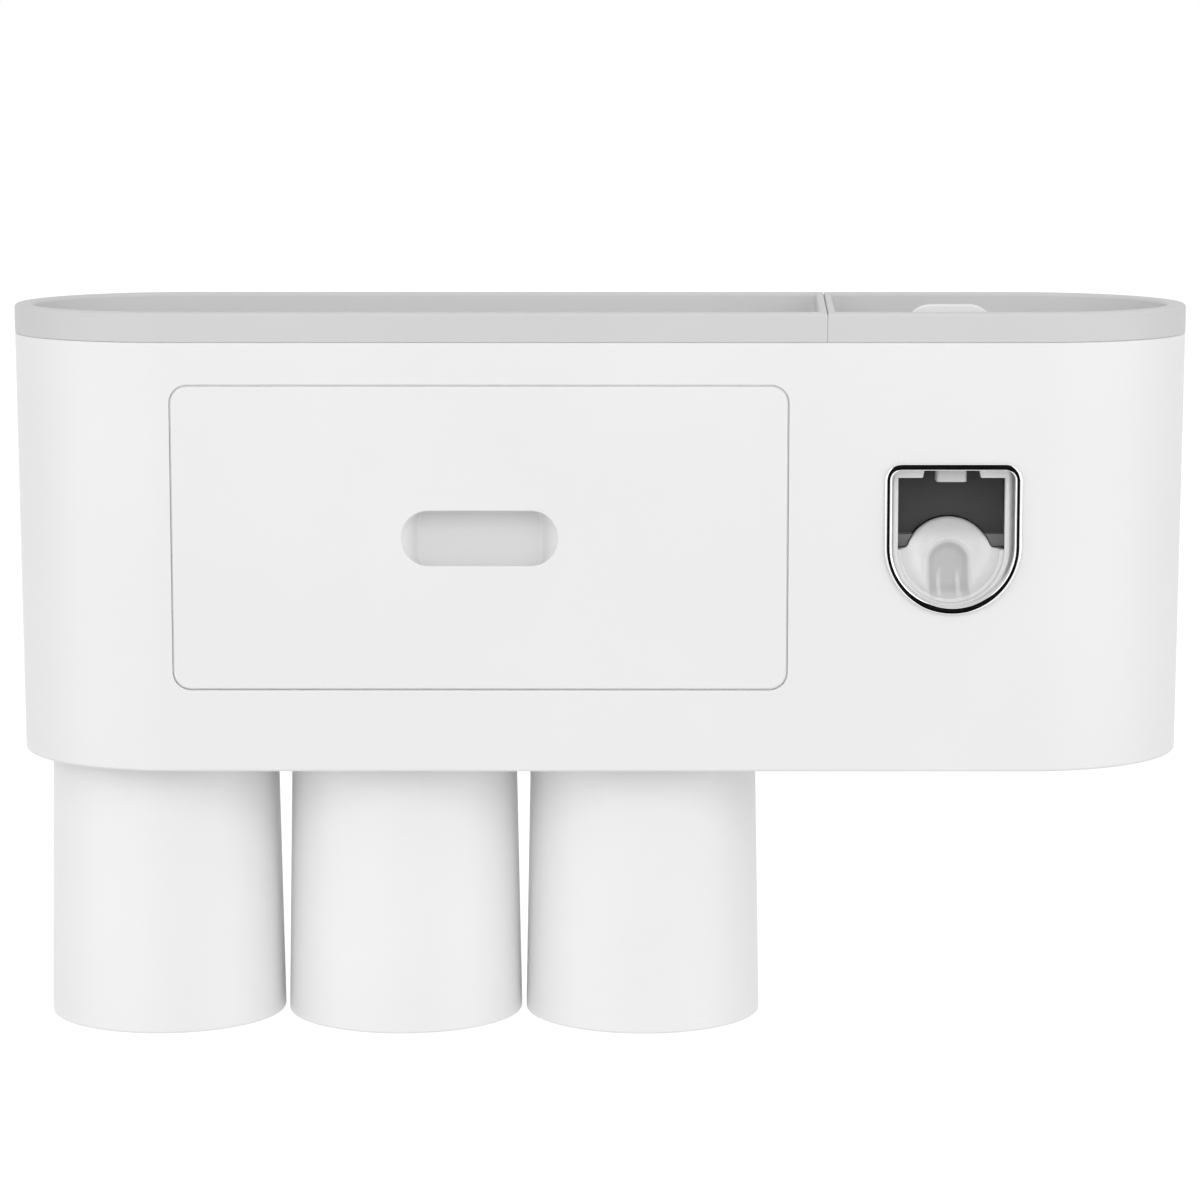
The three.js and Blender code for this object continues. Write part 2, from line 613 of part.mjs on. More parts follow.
// Cups, hung mouth down, each with a steel disc under a thin cover in its closed end
function cup(x) {
  const top = below(CUP_TOP);
  const mouth = top - CUP_LENGTH;
  const recess = DISC_THICK + COVER_THICK + SEAT;
  const recessRadius = DISC_RADIUS + SEAT;
  const padRadius = recessRadius + CUP_WALL;
  const padUnder = top - recess - CUP_WALL;
  const endUnder = top - CUP_END_THICK;
  const round = CUP_EDGE_ROUND;
  const profile = [
    [0, padUnder], [padRadius, padUnder], [padRadius, endUnder], [CUP_END_RADIUS - CUP_WALL, endUnder],
    [CUP_MOUTH_RADIUS - CUP_WALL, mouth], [CUP_MOUTH_RADIUS, mouth], [CUP_END_RADIUS, top - round],
    [CUP_END_RADIUS - round * 0.3, top - round * 0.3], [CUP_END_RADIUS - round, top],
    [recessRadius, top], [recessRadius, top - recess], [0, top - recess],
  ];
  return turned(x, MID_Y, profile, 40);
}

const cupDisc = (x) => {
  const low = below(CUP_TOP) - DISC_THICK - COVER_THICK - SEAT / 2;
  return pillar(x, MID_Y, DISC_RADIUS, low, low + DISC_THICK);
};

const cupCover = (x) => {
  const high = below(CUP_TOP);
  return pillar(x, MID_Y, DISC_RADIUS, high - COVER_THICK, high);
};

// Chrome bezel: a lip on the shell's front and a sleeve through the window
function bezel() {
  const lipBack = leanAt(below(WINDOW_FROM_TOP)) - SEAT / 2;
  const lip = solidOf(through(windowOutline(0), -BEZEL_PROUD, lipBack, ROUND));
  const sleeve = solidOf(
    through(windowOutline(BEZEL_LIP - SLEEVE_WALL), -BEZEL_PROUD / 2, CASE_FRONT - RUNNING, ROUND),
  );
  const hole = solidOf(through(windowOutline(BEZEL_LIP), -BEZEL_PROUD - OVERCUT, CASE_FRONT, ROUND));
  return cut(joined(lip, sleeve), hole);
}

// Dispenser case: a U-shaped box that hangs by its flange in the right-hand tray
const caseOutline = (top, inset) => uShape(
  DISPENSER_X, below(top), below(CASE_CENTRE), CASE_HALF_WIDTH - inset,
);
const coverScrewXs = [-1, 1].map(
  (side) => DISPENSER_X + side * (CASE_INNER - COVER_BOSS_RADIUS + BITE / 2),
);
const coverScrewPlaces = COVER_SCREW_HEIGHTS.flatMap(
  (drop) => coverScrewXs.map((x) => [x, below(FLANGE_UNDER + drop)]),
);

function liftTab() {
  const foot = below(FLANGE_TOP + BITE);
  const top = below(-TAB_ABOVE_RIM);
  const shoulder = top - TAB_SHOULDER;
  const shape = new THREE.Shape();
  shape.moveTo(DISPENSER_X - TAB_HALF_WIDTH, foot);
  shape.lineTo(DISPENSER_X + TAB_HALF_WIDTH, foot);
  shape.lineTo(DISPENSER_X + TAB_HALF_WIDTH, shoulder);
  shape.quadraticCurveTo(DISPENSER_X + TAB_HALF_WIDTH * 0.86, top, DISPENSER_X + TAB_TOP_HALF_WIDTH, top);
  shape.lineTo(DISPENSER_X - TAB_TOP_HALF_WIDTH, top);
  shape.quadraticCurveTo(DISPENSER_X - TAB_HALF_WIDTH * 0.86, top, DISPENSER_X - TAB_HALF_WIDTH, shoulder);
  const near = CASE_FRONT + TAB_FROM_FRONT;
  return solidOf(through(shape, near, near + TAB_THICK));
}

function dispenserCase() {
  const outside = solidOf(through(caseOutline(FLANGE_UNDER - BITE, 0), CASE_FRONT, CASE_END, ROUND));
  const hollow = solidOf(
    through(caseOutline(FLANGE_UNDER, CASE_WALL), CASE_FRONT + CASE_WALL, CASE_END + OVERCUT, ROUND),
  );
  const frontTop = below(WINDOW_FROM_TOP + FRONT_DROP);
  const opening = uShape(DISPENSER_X, frontTop, below(CASE_CENTRE), CASE_INNER - FRONT_LIP);
  const window = solidOf(through(opening, CASE_FRONT - OVERCUT, CASE_FRONT + CASE_WALL + BITE, ROUND));
  const notch = box(
    DISPENSER_X - NOTCH_HALF_WIDTH, DISPENSER_X + NOTCH_HALF_WIDTH, behind(CASE_FRONT - OVERCUT),
    behind(CASE_FRONT + CASE_WALL + BITE), frontTop - OVERCUT, below(DECK_UNDER),
  );
  const halfFlange = CASE_HALF_WIDTH + FLANGE_WIDTH;
  const flangeRear = BACK_REAR + FLANGE_WIDTH;
  const plan = roundedRect(
    DISPENSER_X - halfFlange, behind(CASE_FRONT + SEAT),
    DISPENSER_X + halfFlange, behind(flangeRear), FLANGE_WIDTH,
  );
  const flange = solidOf(upright(plan, below(FLANGE_UNDER), below(FLANGE_TOP)));
  const wellHalf = CASE_INNER - WELL_MARGIN;
  const wellPlan = roundedRect(
    DISPENSER_X - wellHalf, behind(CASE_FRONT + WELL_FRONT),
    DISPENSER_X + wellHalf, behind(CASE_END - WELL_MARGIN), WELL_CORNER,
  );
  const well = solidOf(upright(wellPlan, below(FLANGE_UNDER + BITE), below(FLANGE_TOP - OVERCUT)));
  const ledges = [-1, 1].map((side) => {
    const wall = DISPENSER_X + side * (CASE_INNER + BITE);
    const edge = DISPENSER_X + side * (CASE_INNER - DECK_LEDGE);
    const top = below(DECK_UNDER + SEAT);
    const near = behind(CASE_FRONT + CASE_WALL - BITE);
    return box(
      Math.min(wall, edge), Math.max(wall, edge), near, behind(CASE_END), top - DECK_LEDGE_THICK, top,
    );
  });
  const bosses = coverScrewPlaces.map(
    ([x, z]) => shaft(x, z, COVER_BOSS_RADIUS, CASE_END - COVER_BOSS_LENGTH, CASE_END),
  );
  const pilots = coverScrewPlaces.map(([x, z]) => {
    return shaft(x, z, SCREW_RADIUS + THREAD, CASE_END - SCREW_LENGTH, CASE_END + OVERCUT);
  });
  const walls = cut(outside, hollow, window, notch);
  return cut(joined(walls, flange, ...ledges, ...bosses, liftTab()), well, ...pilots);
}

function caseBack() {
  const plate = solidOf(through(caseOutline(FLANGE_UNDER + SEAT, 0), BACK_FRONT, BACK_REAR, ROUND));
  const holes = coverScrewPlaces.map(([x, z]) => {
    return shaft(x, z, SCREW_RADIUS + SEAT, BACK_FRONT - OVERCUT, BACK_REAR + OVERCUT);
  });
  return cut(plate, ...holes);
}

function pumpDeck() {
  const half = CASE_INNER - SEAT;
  const near = behind(CASE_FRONT + CASE_WALL + SEAT);
  const low = below(DECK_UNDER);
  const high = below(DECK_TOP);
  const plate = box(DISPENSER_X - half, DISPENSER_X + half, near, behind(CASE_END - SEAT), low, high);
  const socketHole = pillar(
    DISPENSER_X, behind(INLET_AT), SOCKET_SPIGOT + SEAT, low - OVERCUT, high + OVERCUT,
  );
  const nozzleHole = pillar(
    DISPENSER_X, behind(NOZZLE_MID), DUCT_RADIUS + SEAT, low - OVERCUT, high + OVERCUT,
  );
  return cut(plate, socketHole, nozzleHole);
}

// Pump body: a face with an arch for the dome and two guide blocks, cheeks that join it to a plate
// across the case, the barrel behind and the inlet on top
const pipeX = DISPENSER_X - PIPE_OFFSET;

function pumpBody() {
  const half = CASE_INNER - SEAT;
  const top = below(DECK_UNDER + SEAT * 2 + DECK_LEDGE_THICK);
  const outline = uShape(DISPENSER_X, top, below(CASE_CENTRE), half);
  const plate = solidOf(through(outline, PLATE_FRONT, PLATE_REAR, ROUND));
  const near = behind(FACE_FRONT);
  const middle = behind(FACE_FRONT + FACE_THICK / 2);
  const far = behind(PLATE_FRONT + BITE);
  const low = below(BOWL_RIM - SEAT);
  const face = box(DISPENSER_X - half, DISPENSER_X + half, near, near + FACE_THICK, low, top);
  const guideNear = BOWL_END - BOWL_END_THICK;
  const sides = [-1, 1].map((side) => {
    const outer = DISPENSER_X + side * half;
    const inner = outer - side * GUIDE_WIDTH;
    const cheek = outer - side * CHEEK_THICK;
    const left = Math.min(outer, inner);
    const guide = box(left, left + GUIDE_WIDTH, behind(guideNear), middle, low, low + GUIDE_HEIGHT);
    return joined(guide, box(Math.min(outer, cheek), Math.max(outer, cheek), middle, far, low, top));
  });
  const faceEnd = FACE_FRONT + FACE_THICK + OVERCUT;
  const arch = shaft(
    DISPENSER_X, below(DOME_AXIS), DOME_RADIUS + RUNNING, guideNear - OVERCUT, faceEnd, ROUND,
  );
  const pipeHalf = PIPE_RADIUS + SEAT;
  const pipeLow = below(PIPE_DROP) - pipeHalf;
  const pipeSlot = box(
    DISPENSER_X - pipeHalf, DISPENSER_X + pipeHalf, near - OVERCUT, behind(faceEnd), pipeLow, top + OVERCUT,
  );
  const axis = below(PLUNGER_AXIS);
  const barrel = shaft(DISPENSER_X, axis, BARREL_BORE + BARREL_WALL, PLATE_REAR - BITE, BARREL_END);
  const inlet = pillar(DISPENSER_X, behind(INLET_AT), INLET_RADIUS, axis, below(DECK_UNDER + SEAT));
  const bore = shaft(DISPENSER_X, axis, BARREL_BORE, PLATE_REAR, BARREL_END + OVERCUT);
  const rodHole = shaft(DISPENSER_X, axis, ROD_RADIUS + SEAT, PLATE_FRONT - OVERCUT, PLATE_REAR + OVERCUT);
  const duct = pillar(DISPENSER_X, behind(INLET_AT), DUCT_RADIUS, axis, below(DECK_TOP));
  const pipeHole = shaft(
    pipeX, below(PIPE_DROP), PIPE_RADIUS + SEAT, PLATE_FRONT - OVERCUT, PLATE_REAR + OVERCUT,
  );
  return cut(joined(plate, face, ...sides, barrel, inlet), bore, rodHole, duct, pipeHole, arch, pipeSlot);
}

// Valve block: closes the barrel's end and leads the paste across and up to the outlet pipe
const blockTop = CASE_CENTRE + CASE_INNER - BLOCK_HEIGHT;
const blockMid = (BLOCK_FRONT + BLOCK_REAR) / 2;

function valveBlock() {
  const outline = uShape(DISPENSER_X, below(blockTop), below(CASE_CENTRE), CASE_INNER - SEAT);
  const block = solidOf(through(outline, BLOCK_FRONT, BLOCK_REAR, ROUND));
  const axis = below(PLUNGER_AXIS);
  const inward = shaft(DISPENSER_X, axis, DUCT_RADIUS, BLOCK_FRONT - OVERCUT, blockMid + DUCT_RADIUS);
  const mid = behind(blockMid);
  const across = box(
    pipeX, DISPENSER_X, mid - PIPE_BORE, mid + PIPE_BORE, axis - PIPE_BORE, axis + PIPE_BORE,
  );
  const upward = pillar(pipeX, mid, PIPE_BORE, axis - PIPE_BORE, below(blockTop - OVERCUT));
  return cut(block, inward, across, upward);
}

// Outlet pipe: up from the valve block, forward under the deck and in to the nozzle
function pipeRun(radius, extra) {
  const mid = behind(blockMid);
  const bend = PIPE_RADIUS * 2.4;
  const high = below(PIPE_DROP);
  const low = below(blockTop - SEAT);
  const sway = behind(NOZZLE_REAR + PIPE_OFFSET);
  const end = behind(NOZZLE_REAR + SEAT);
  const run = new THREE.CurvePath();
  const corner = new THREE.Vector3(pipeX, mid, high);
  const rise = new THREE.Vector3(pipeX, mid, high - bend);
  const level = new THREE.Vector3(pipeX, mid - bend, high);
  const drift = new THREE.Vector3(pipeX, sway + PIPE_OFFSET, high);
  const straight = new THREE.Vector3(DISPENSER_X, sway - PIPE_OFFSET / 3, high);
  run.add(new THREE.LineCurve3(new THREE.Vector3(pipeX, mid, low - extra), rise));
  run.add(new THREE.QuadraticBezierCurve3(rise, corner, level));
  run.add(new THREE.LineCurve3(level, drift));
  const pullIn = new THREE.Vector3(pipeX, sway + PIPE_OFFSET / 3, high);
  const pullOut = new THREE.Vector3(DISPENSER_X, sway + PIPE_OFFSET / 3, high);
  run.add(new THREE.CubicBezierCurve3(drift, pullIn, pullOut, straight));
  run.add(new THREE.LineCurve3(straight, new THREE.Vector3(DISPENSER_X, end - extra, high)));
  const ring = new THREE.Shape(Array.from({ length: 6 }, (_, i) => {
    const angle = i * Math.PI / 3;
    return new THREE.Vector2(radius * Math.cos(angle), radius * Math.sin(angle));
  }));
  return solidOf(new THREE.ExtrudeGeometry(ring, { steps: 26, bevelEnabled: false, extrudePath: run }));
}

const outletPipe = () => cut(pipeRun(PIPE_RADIUS, 0), pipeRun(PIPE_BORE, SEAT / 2));

function outletNozzle() {
  const low = below(NOZZLE_BOTTOM);
  const high = below(NOZZLE_TOP);
  const mid = behind(NOZZLE_MID);
  const plan = roundedRect(
    DISPENSER_X - NOZZLE_HALF_WIDTH, behind(NOZZLE_FRONT),
    DISPENSER_X + NOZZLE_HALF_WIDTH, behind(NOZZLE_REAR), NOZZLE_CORNER,
  );
  const spigot = pillar(DISPENSER_X, mid, DUCT_RADIUS, high - BITE, below(DECK_TOP));
  const recess = pillar(DISPENSER_X, mid, VALVE_RADIUS + SEAT, low - OVERCUT, low + VALVE_THICK + SEAT);
  const fall = pillar(DISPENSER_X, mid, PIPE_BORE, low, below(PIPE_DROP) + PIPE_BORE);
  const inward = shaft(DISPENSER_X, below(PIPE_DROP), PIPE_BORE, NOZZLE_MID, NOZZLE_REAR + OVERCUT);
  return cut(joined(solidOf(upright(plan, low, high)), spigot), recess, fall, inward);
}

function nozzleValve() {
  const low = below(NOZZLE_BOTTOM);
  const mid = behind(NOZZLE_MID);
  const half = SEAT / 2;
  const slit = box(
    DISPENSER_X - PIPE_BORE, DISPENSER_X + PIPE_BORE,
    mid - half, mid + half, low - OVERCUT, low + OVERCUT * 2,
  );
  return cut(pillar(DISPENSER_X, mid, VALVE_RADIUS, low, low + VALVE_THICK), slit);
}

// Socket for the neck of the toothpaste tube, and the ring that clamps it to the deck
const socketSeat = below(DECK_TOP) + SEAT;
const flangeTop = socketSeat + SOCKET_FLANGE_THICK;
const collarRadius = SOCKET_MOUTH + SOCKET_WALL - BITE;

function tubeSocket() {
  const foot = below(DECK_UNDER);
  const top = flangeTop + SOCKET_HEIGHT;
  const profile = [
    [DUCT_RADIUS, foot], [SOCKET_SPIGOT, foot], [SOCKET_SPIGOT, socketSeat], [SOCKET_FLANGE, socketSeat],
    [SOCKET_FLANGE, flangeTop], [collarRadius, flangeTop], [SOCKET_MOUTH + SOCKET_WALL, top],
    [SOCKET_MOUTH, top], [SOCKET_SPIGOT, flangeTop], [DUCT_RADIUS, flangeTop], [DUCT_RADIUS, foot],
  ];
  return turned(DISPENSER_X, behind(INLET_AT), profile, 20);
}

function socketRing() {
  const low = flangeTop + SEAT;
  const high = low + RING_WALL;
  const inner = SOCKET_FLANGE + SEAT;
  const outer = inner + RING_WALL;
  const lip = collarRadius + BITE / 2 + SEAT;
  const profile = [
    [lip, low], [inner, low], [inner, socketSeat],
    [outer, socketSeat], [outer, high], [lip, high], [lip, low],
  ];
  return turned(DISPENSER_X, behind(INLET_AT), profile, 20);
}

// Pusher: a bowl for the brush head with a domed end wall, and a boss behind it for the plunger
function pushBowl() {
  const axis = below(CASE_CENTRE);
  const rim = below(BOWL_RIM);
  const reach = CASE_INNER - RUNNING;
  const endFront = BOWL_END - BOWL_END_THICK;
  const outerProfile = [
    [0, BOWL_FRONT], [reach, BOWL_FRONT], [reach - BOWL_TAPER, BOWL_END], [0, BOWL_END],
  ];
  const inReach = reach - BOWL_WALL;
  const nearMouth = BOWL_FRONT - OVERCUT;
  const innerProfile = [
    [0, nearMouth], [inReach, nearMouth], [inReach - BOWL_INSIDE_TAPER, endFront], [0, endFront],
  ];
  const outer = turnedAlong(DISPENSER_X, axis, outerProfile, 40);
  const inner = turnedAlong(DISPENSER_X, axis, innerProfile, 40);
  const lower = box(DISPENSER_X - reach, DISPENSER_X + reach, behind(0), behind(DEPTH), rim - reach, rim);
  const bowl = cut(outer, inner).intersect(lower);
  const wholeDome = shaft(DISPENSER_X, below(DOME_AXIS), DOME_RADIUS, endFront, BOWL_END, ROUND);
  const upper = box(
    DISPENSER_X - reach, DISPENSER_X + reach, behind(0),
    behind(DEPTH), rim - BITE, below(DOME_TOP - OVERCUT),
  );
  const dome = wholeDome.intersect(upper);
  const nicheTop = below(DOME_TOP + NICHE_DROP);
  const nicheCentre = nicheTop - NICHE_HALF_WIDTH;
  const round = shaft(
    DISPENSER_X, nicheCentre, NICHE_HALF_WIDTH, endFront - OVERCUT, endFront + NICHE_DEPTH,
  );
  const boss = shaft(
    DISPENSER_X, below(PLUNGER_AXIS), BOSS_RADIUS, BOWL_END - BITE, BOWL_END + BOSS_LENGTH,
  );
  const socket = shaft(
    DISPENSER_X, below(PLUNGER_AXIS), ROD_RADIUS + SEAT, BOWL_END, BOWL_END + BOSS_LENGTH + OVERCUT,
  );
  return cut(joined(bowl, dome, boss), round, socket);
}

const headFront = PLATE_REAR + HEAD_FROM_PLATE;
const headEnd = headFront + HEAD_LENGTH;
const grooveFront = (headFront + headEnd - SEAL_WIDTH) / 2 - SEAT;
const grooveEnd = (headFront + headEnd + SEAL_WIDTH) / 2 + SEAT;

function plunger() {
  const groove = HEAD_RADIUS - SEAL_DEPTH;
  const profile = [
    [0, BOWL_END + SEAT], [ROD_RADIUS, BOWL_END + SEAT], [ROD_RADIUS, headFront], [HEAD_RADIUS, headFront],
    [HEAD_RADIUS, grooveFront], [groove, grooveFront], [groove, grooveEnd], [HEAD_RADIUS, grooveEnd],
    [HEAD_RADIUS, headEnd], [0, headEnd],
  ];
  return turnedAlong(DISPENSER_X, below(PLUNGER_AXIS), profile, 16);
}

function plungerSeal() {
  const inner = HEAD_RADIUS - SEAL_DEPTH + THREAD;
  const outer = BARREL_BORE - THREAD;
  const near = grooveFront + SEAT;
  const far = grooveEnd - SEAT;
  const mid = (near + far) / 2;
  const profile = [
    [inner, near], [outer - THREAD, near], [outer, mid], [outer - THREAD, far], [inner, far], [inner, near],
  ];
  return turnedAlong(DISPENSER_X, below(PLUNGER_AXIS), profile, 16);
}

// Return spring between the pusher and the pump body
class Helix extends THREE.Curve {
  getPoint(t, target = new THREE.Vector3()) {
    const angle = t * SPRING_CURLS * Math.PI * 2;
    const start = behind(BOWL_END + SEAT) + SPRING_WIRE;
    const end = behind(PLATE_FRONT - SEAT) - SPRING_WIRE;
    const x = DISPENSER_X + SPRING_RADIUS * Math.cos(angle);
    return target.set(x, start + (end - start) * t, below(PLUNGER_AXIS) + SPRING_RADIUS * Math.sin(angle));
  }
}

function leastSpringGap(helix) {
  const stepsPerCurl = 24;
  const points = helix.getPoints(SPRING_CURLS * stepsPerCurl);
  let least = Infinity;
  points.forEach((point, i) => points.slice(i + stepsPerCurl / 2).forEach((other) => {
    least = Math.min(least, point.distanceTo(other));
  }));
  return least - 2 * SPRING_WIRE;
}

function returnSpring() {
  const helix = new Helix();
  console.log("return spring: least gap to itself", leastSpringGap(helix).toFixed(2), "mm");
  const wire = new THREE.Shape(Array.from({ length: 5 }, (_, i) => {
    const angle = i * Math.PI * 2 / 5;
    return new THREE.Vector2(SPRING_WIRE * Math.cos(angle), SPRING_WIRE * Math.sin(angle));
  }));
  return solidOf(
    new THREE.ExtrudeGeometry(wire, { steps: SPRING_CURLS * 8, bevelEnabled: false, extrudePath: helix }),
  );
}

// Wall bracket with its hooks, and the adhesive sheet
function wallBracket() {
  const halfLength = SHEET_LENGTH / 2 + BRACKET_MARGIN;
  const halfHeight = SHEET_HEIGHT / 2 + BRACKET_MARGIN;
  const plateFront = -SHEET_THICK - BRACKET_THICK;
  const outline = roundedRect(-halfLength, -halfHeight, halfLength, halfHeight, BRACKET_CORNER);
  const plate = solidOf(through(outline, plateFront - FRONT_Y, -SHEET_THICK - FRONT_Y));
  const lipBack = -WALL_GAP - SHELL_WALL - leanAt(slotBottom) - SEAT;
  const lipFront = lipBack - HOOK_LIP_THICK;
  const low = HOOK_ABOVE_ORIGIN - HOOK_NECK;
  const hooks = hookXs.map((x) => {
    const near = x - HOOK_WIDTH / 2;
    const far = x + HOOK_WIDTH / 2;
    const neck = box(near, far, lipFront, plateFront + BITE, low, HOOK_ABOVE_ORIGIN);
    return joined(neck, box(near, far, lipFront, lipBack, low, HOOK_ABOVE_ORIGIN + HOOK_LIP));
  });
  return joined(plate, ...hooks);
}

function adhesiveSheet() {
  const halfLength = SHEET_LENGTH / 2;
  const halfHeight = SHEET_HEIGHT / 2;
  const outline = roundedRect(-halfLength, -halfHeight, halfLength, halfHeight, BRACKET_CORNER / 2);
  return solidOf(through(outline, -SHEET_THICK - FRONT_Y, -FRONT_Y));
}

// Materials
const finish = (color, roughness, metalness = 0) => new THREE.MeshStandardMaterial(
  { color, roughness, metalness },
);
const white = finish(0xf0f0f0, 0.3);
const grey = finish(0xd2d2d2, 0.5);
const darkGrey = finish(0x4a4a4c, 0.55);
const chrome = finish(0xd8dade, 0.08, 1);
const steel = finish(0xb4b8bc, 0.35, 1);
const magnet = finish(0x8c9096, 0.3, 1);
const silicone = finish(0xdfe3e6, 0.5);
const foam = finish(0xe9e9e2, 0.9);
const lightGrey = finish(0xc4c6c8, 0.4);

// Assembly
const group = new THREE.Group();

function add(name, solid, material) {
  const mesh = new THREE.Mesh(geometryOf(solid), material);
  mesh.name = name;
  group.add(mesh);
}

add("wall_bracket", wallBracket(), white);
add("adhesive_sheet", adhesiveSheet(), foam);
add("outer_shell", outerShell(), white);
add("base_plate", basePlate(), white);
bossPlaces.forEach((place, i) => add(`base_screw_${i + 1}`, baseScrew(place), steel));
add("drawer_runner_left", drawerRunner(-1), white);
add("drawer_runner_right", drawerRunner(1), white);
add("bay_divider", bayDivider(), white);
add("storage_tray", storageTray(), grey);
add("bay_tray", bayTray(), grey);
add("bezel", bezel(), chrome);
add("drawer_front", drawerFront(), white);
add("drawer_box", drawerBox(), white);
cupXs.forEach((x, i) => {
  add(`housing_magnet_${i + 1}`, housingMagnet(x), magnet);
  add(`magnet_cap_${i + 1}`, magnetCap(x), white);
  add(`cup_${i + 1}`, cup(x), white);
  add(`cup_disc_${i + 1}`, cupDisc(x), steel);
  add(`cup_cover_${i + 1}`, cupCover(x), white);
});
add("dispenser_case", dispenserCase(), white);
add("case_back", caseBack(), white);
coverScrewPlaces.forEach((place, i) => add(`case_screw_${i + 1}`, coverScrew(place), steel));
add("pump_deck", pumpDeck(), white);
add("pump_body", pumpBody(), darkGrey);
add("valve_block", valveBlock(), white);
add("outlet_pipe", outletPipe(), silicone);
add("outlet_nozzle", outletNozzle(), lightGrey);
add("nozzle_valve", nozzleValve(), silicone);
add("tube_socket", tubeSocket(), silicone);
add("socket_ring", socketRing(), white);
add("push_bowl", pushBowl(), white);
add("plunger", plunger(), lightGrey);
add("plunger_seal", plungerSeal(), silicone);
add("return_spring", returnSpring(), steel);

export default group;
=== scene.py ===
# Wall-mounted toothbrush holder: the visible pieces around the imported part, and a plain studio.
# Sizes are in millimetres, in the part's own frame: X to the right, Y into the wall, Z up.
# Drops are counted down from the rim and depths back from the front.
import math

import bmesh
import bpy
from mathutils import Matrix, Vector


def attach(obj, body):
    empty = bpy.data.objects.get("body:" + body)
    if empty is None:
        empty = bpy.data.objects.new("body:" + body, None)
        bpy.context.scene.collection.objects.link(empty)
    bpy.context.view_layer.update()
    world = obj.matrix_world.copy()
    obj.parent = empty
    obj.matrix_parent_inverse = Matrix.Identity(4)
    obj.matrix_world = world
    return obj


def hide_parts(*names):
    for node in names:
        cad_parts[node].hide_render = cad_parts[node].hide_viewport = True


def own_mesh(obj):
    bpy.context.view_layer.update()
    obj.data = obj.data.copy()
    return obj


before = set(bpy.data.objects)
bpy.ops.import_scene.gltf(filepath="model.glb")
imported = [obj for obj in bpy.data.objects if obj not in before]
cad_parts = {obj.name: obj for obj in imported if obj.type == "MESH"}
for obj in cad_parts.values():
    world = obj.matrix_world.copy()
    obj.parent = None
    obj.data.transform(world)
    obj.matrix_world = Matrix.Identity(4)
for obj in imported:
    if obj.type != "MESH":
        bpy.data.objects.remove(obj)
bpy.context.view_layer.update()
MM = 0.001

# Housing, as in the part's source
WIDTH = 360
DEPTH = 102
HEIGHT = 138
RIM_Z = 40
WALL_GAP = 3.8
SHELL_WALL = 2.5
DRAFT = 0.008
BAY_LENGTH = 112.5
SEAT = 0.3
RUNNING = 0.5
FRONT_Y = -(WALL_GAP + DEPTH)
MID_Y = FRONT_Y + DEPTH / 2
END_RADIUS = DEPTH / 2
END_X = WIDTH / 2 - END_RADIUS
SEAM_X = WIDTH / 2 - BAY_LENGTH

# Edges and holes of the shell
SHELL_INNER_TOP_ROUND = 0.3
SHELL_TOP_ROUND = 0.5
SHELL_LOW_ROUND = 0.9
SHELL_INNER_LOW_ROUND = 0.6
DRAWER_MOUTH_ROUND = 0.25
WINDOW_COVER = 0.8  # how far the bezel's lip covers the edge of its hole
WINDOW_SUPPORT = 0.3  # the same for a loop that keeps the shading around the hole even
HOOK_FROM_SEAM = 20
HOOK_X = SEAM_X - HOOK_FROM_SEAM
HOOK_SLOT_HALF = 10.5
HOOK_SLOT_LOW = -2.6
HOOK_SLOT_HIGH = 8.3
HOOK_SLOT_CORNER = 1

# Base plate, its bosses and pockets, and the toothbrush slots
BASE_UNDER = 126.5
BASE_THICK = 2.5
BASE_ROUND = 0.4
BOSS_HOLE = 1.55
BOSS_RADIUS = 4
BOSS_HEIGHT = 10
BOSS_FROM_WALL = 3
BOSS_TURN = math.radians(60)
SCREW_HOLE = 1.7
MAGNET_POCKET = 10.3
POCKET_WALL = 1.7
POCKET_HEIGHT = 3.6
POCKET_SUNK = 1
SLOT_XS = (84, 106.5, 129, 151.5)
SLOT_HEAD_HALF = 8.5
SLOT_HEAD_LENGTH = 24
SLOT_NECK_HALF = 3.8
SLOT_NECK_LENGTH = 26
SLOT_THROAT_ROUND = 0.8
SLOT_END_ROUND = SLOT_NECK_HALF * 0.98

# Trays
RIM_HEIGHT = 8.5
RIM_WIDTH = 5.6
RIM_LINE = 0.04
RIM_ROUND = 1.1
RIM_LOW_ROUND = 0.25
RIM_SEAM_SHARE = 0.45  # rounding of the rim at the seam, as a share of that along the outside
RIM_INNER_SHARE = 0.8  # the same for the inner edge of the rim
TRAY_DROP = 17.5
TRAY_FLOOR = 2
TRAY_END_WALL = 2.4
TRAY_LOW_ROUND = 0.4
TRAY_CORNER = 0.2
TRAY_INNER_CORNER = 3
TRAY_LEAST_CORNER = 0.4
STORAGE_FLOOR_ROUND = 2.2
BAY_FLOOR_ROUND = 0.3
BAY_HOLE_FROM_RIM = 0.35
BAY_HOLE_FAR = 93.1
BAY_HOLE_CORNER = 0.8
SEAM_SLANT = 4
SEAM_GAP = 0.05

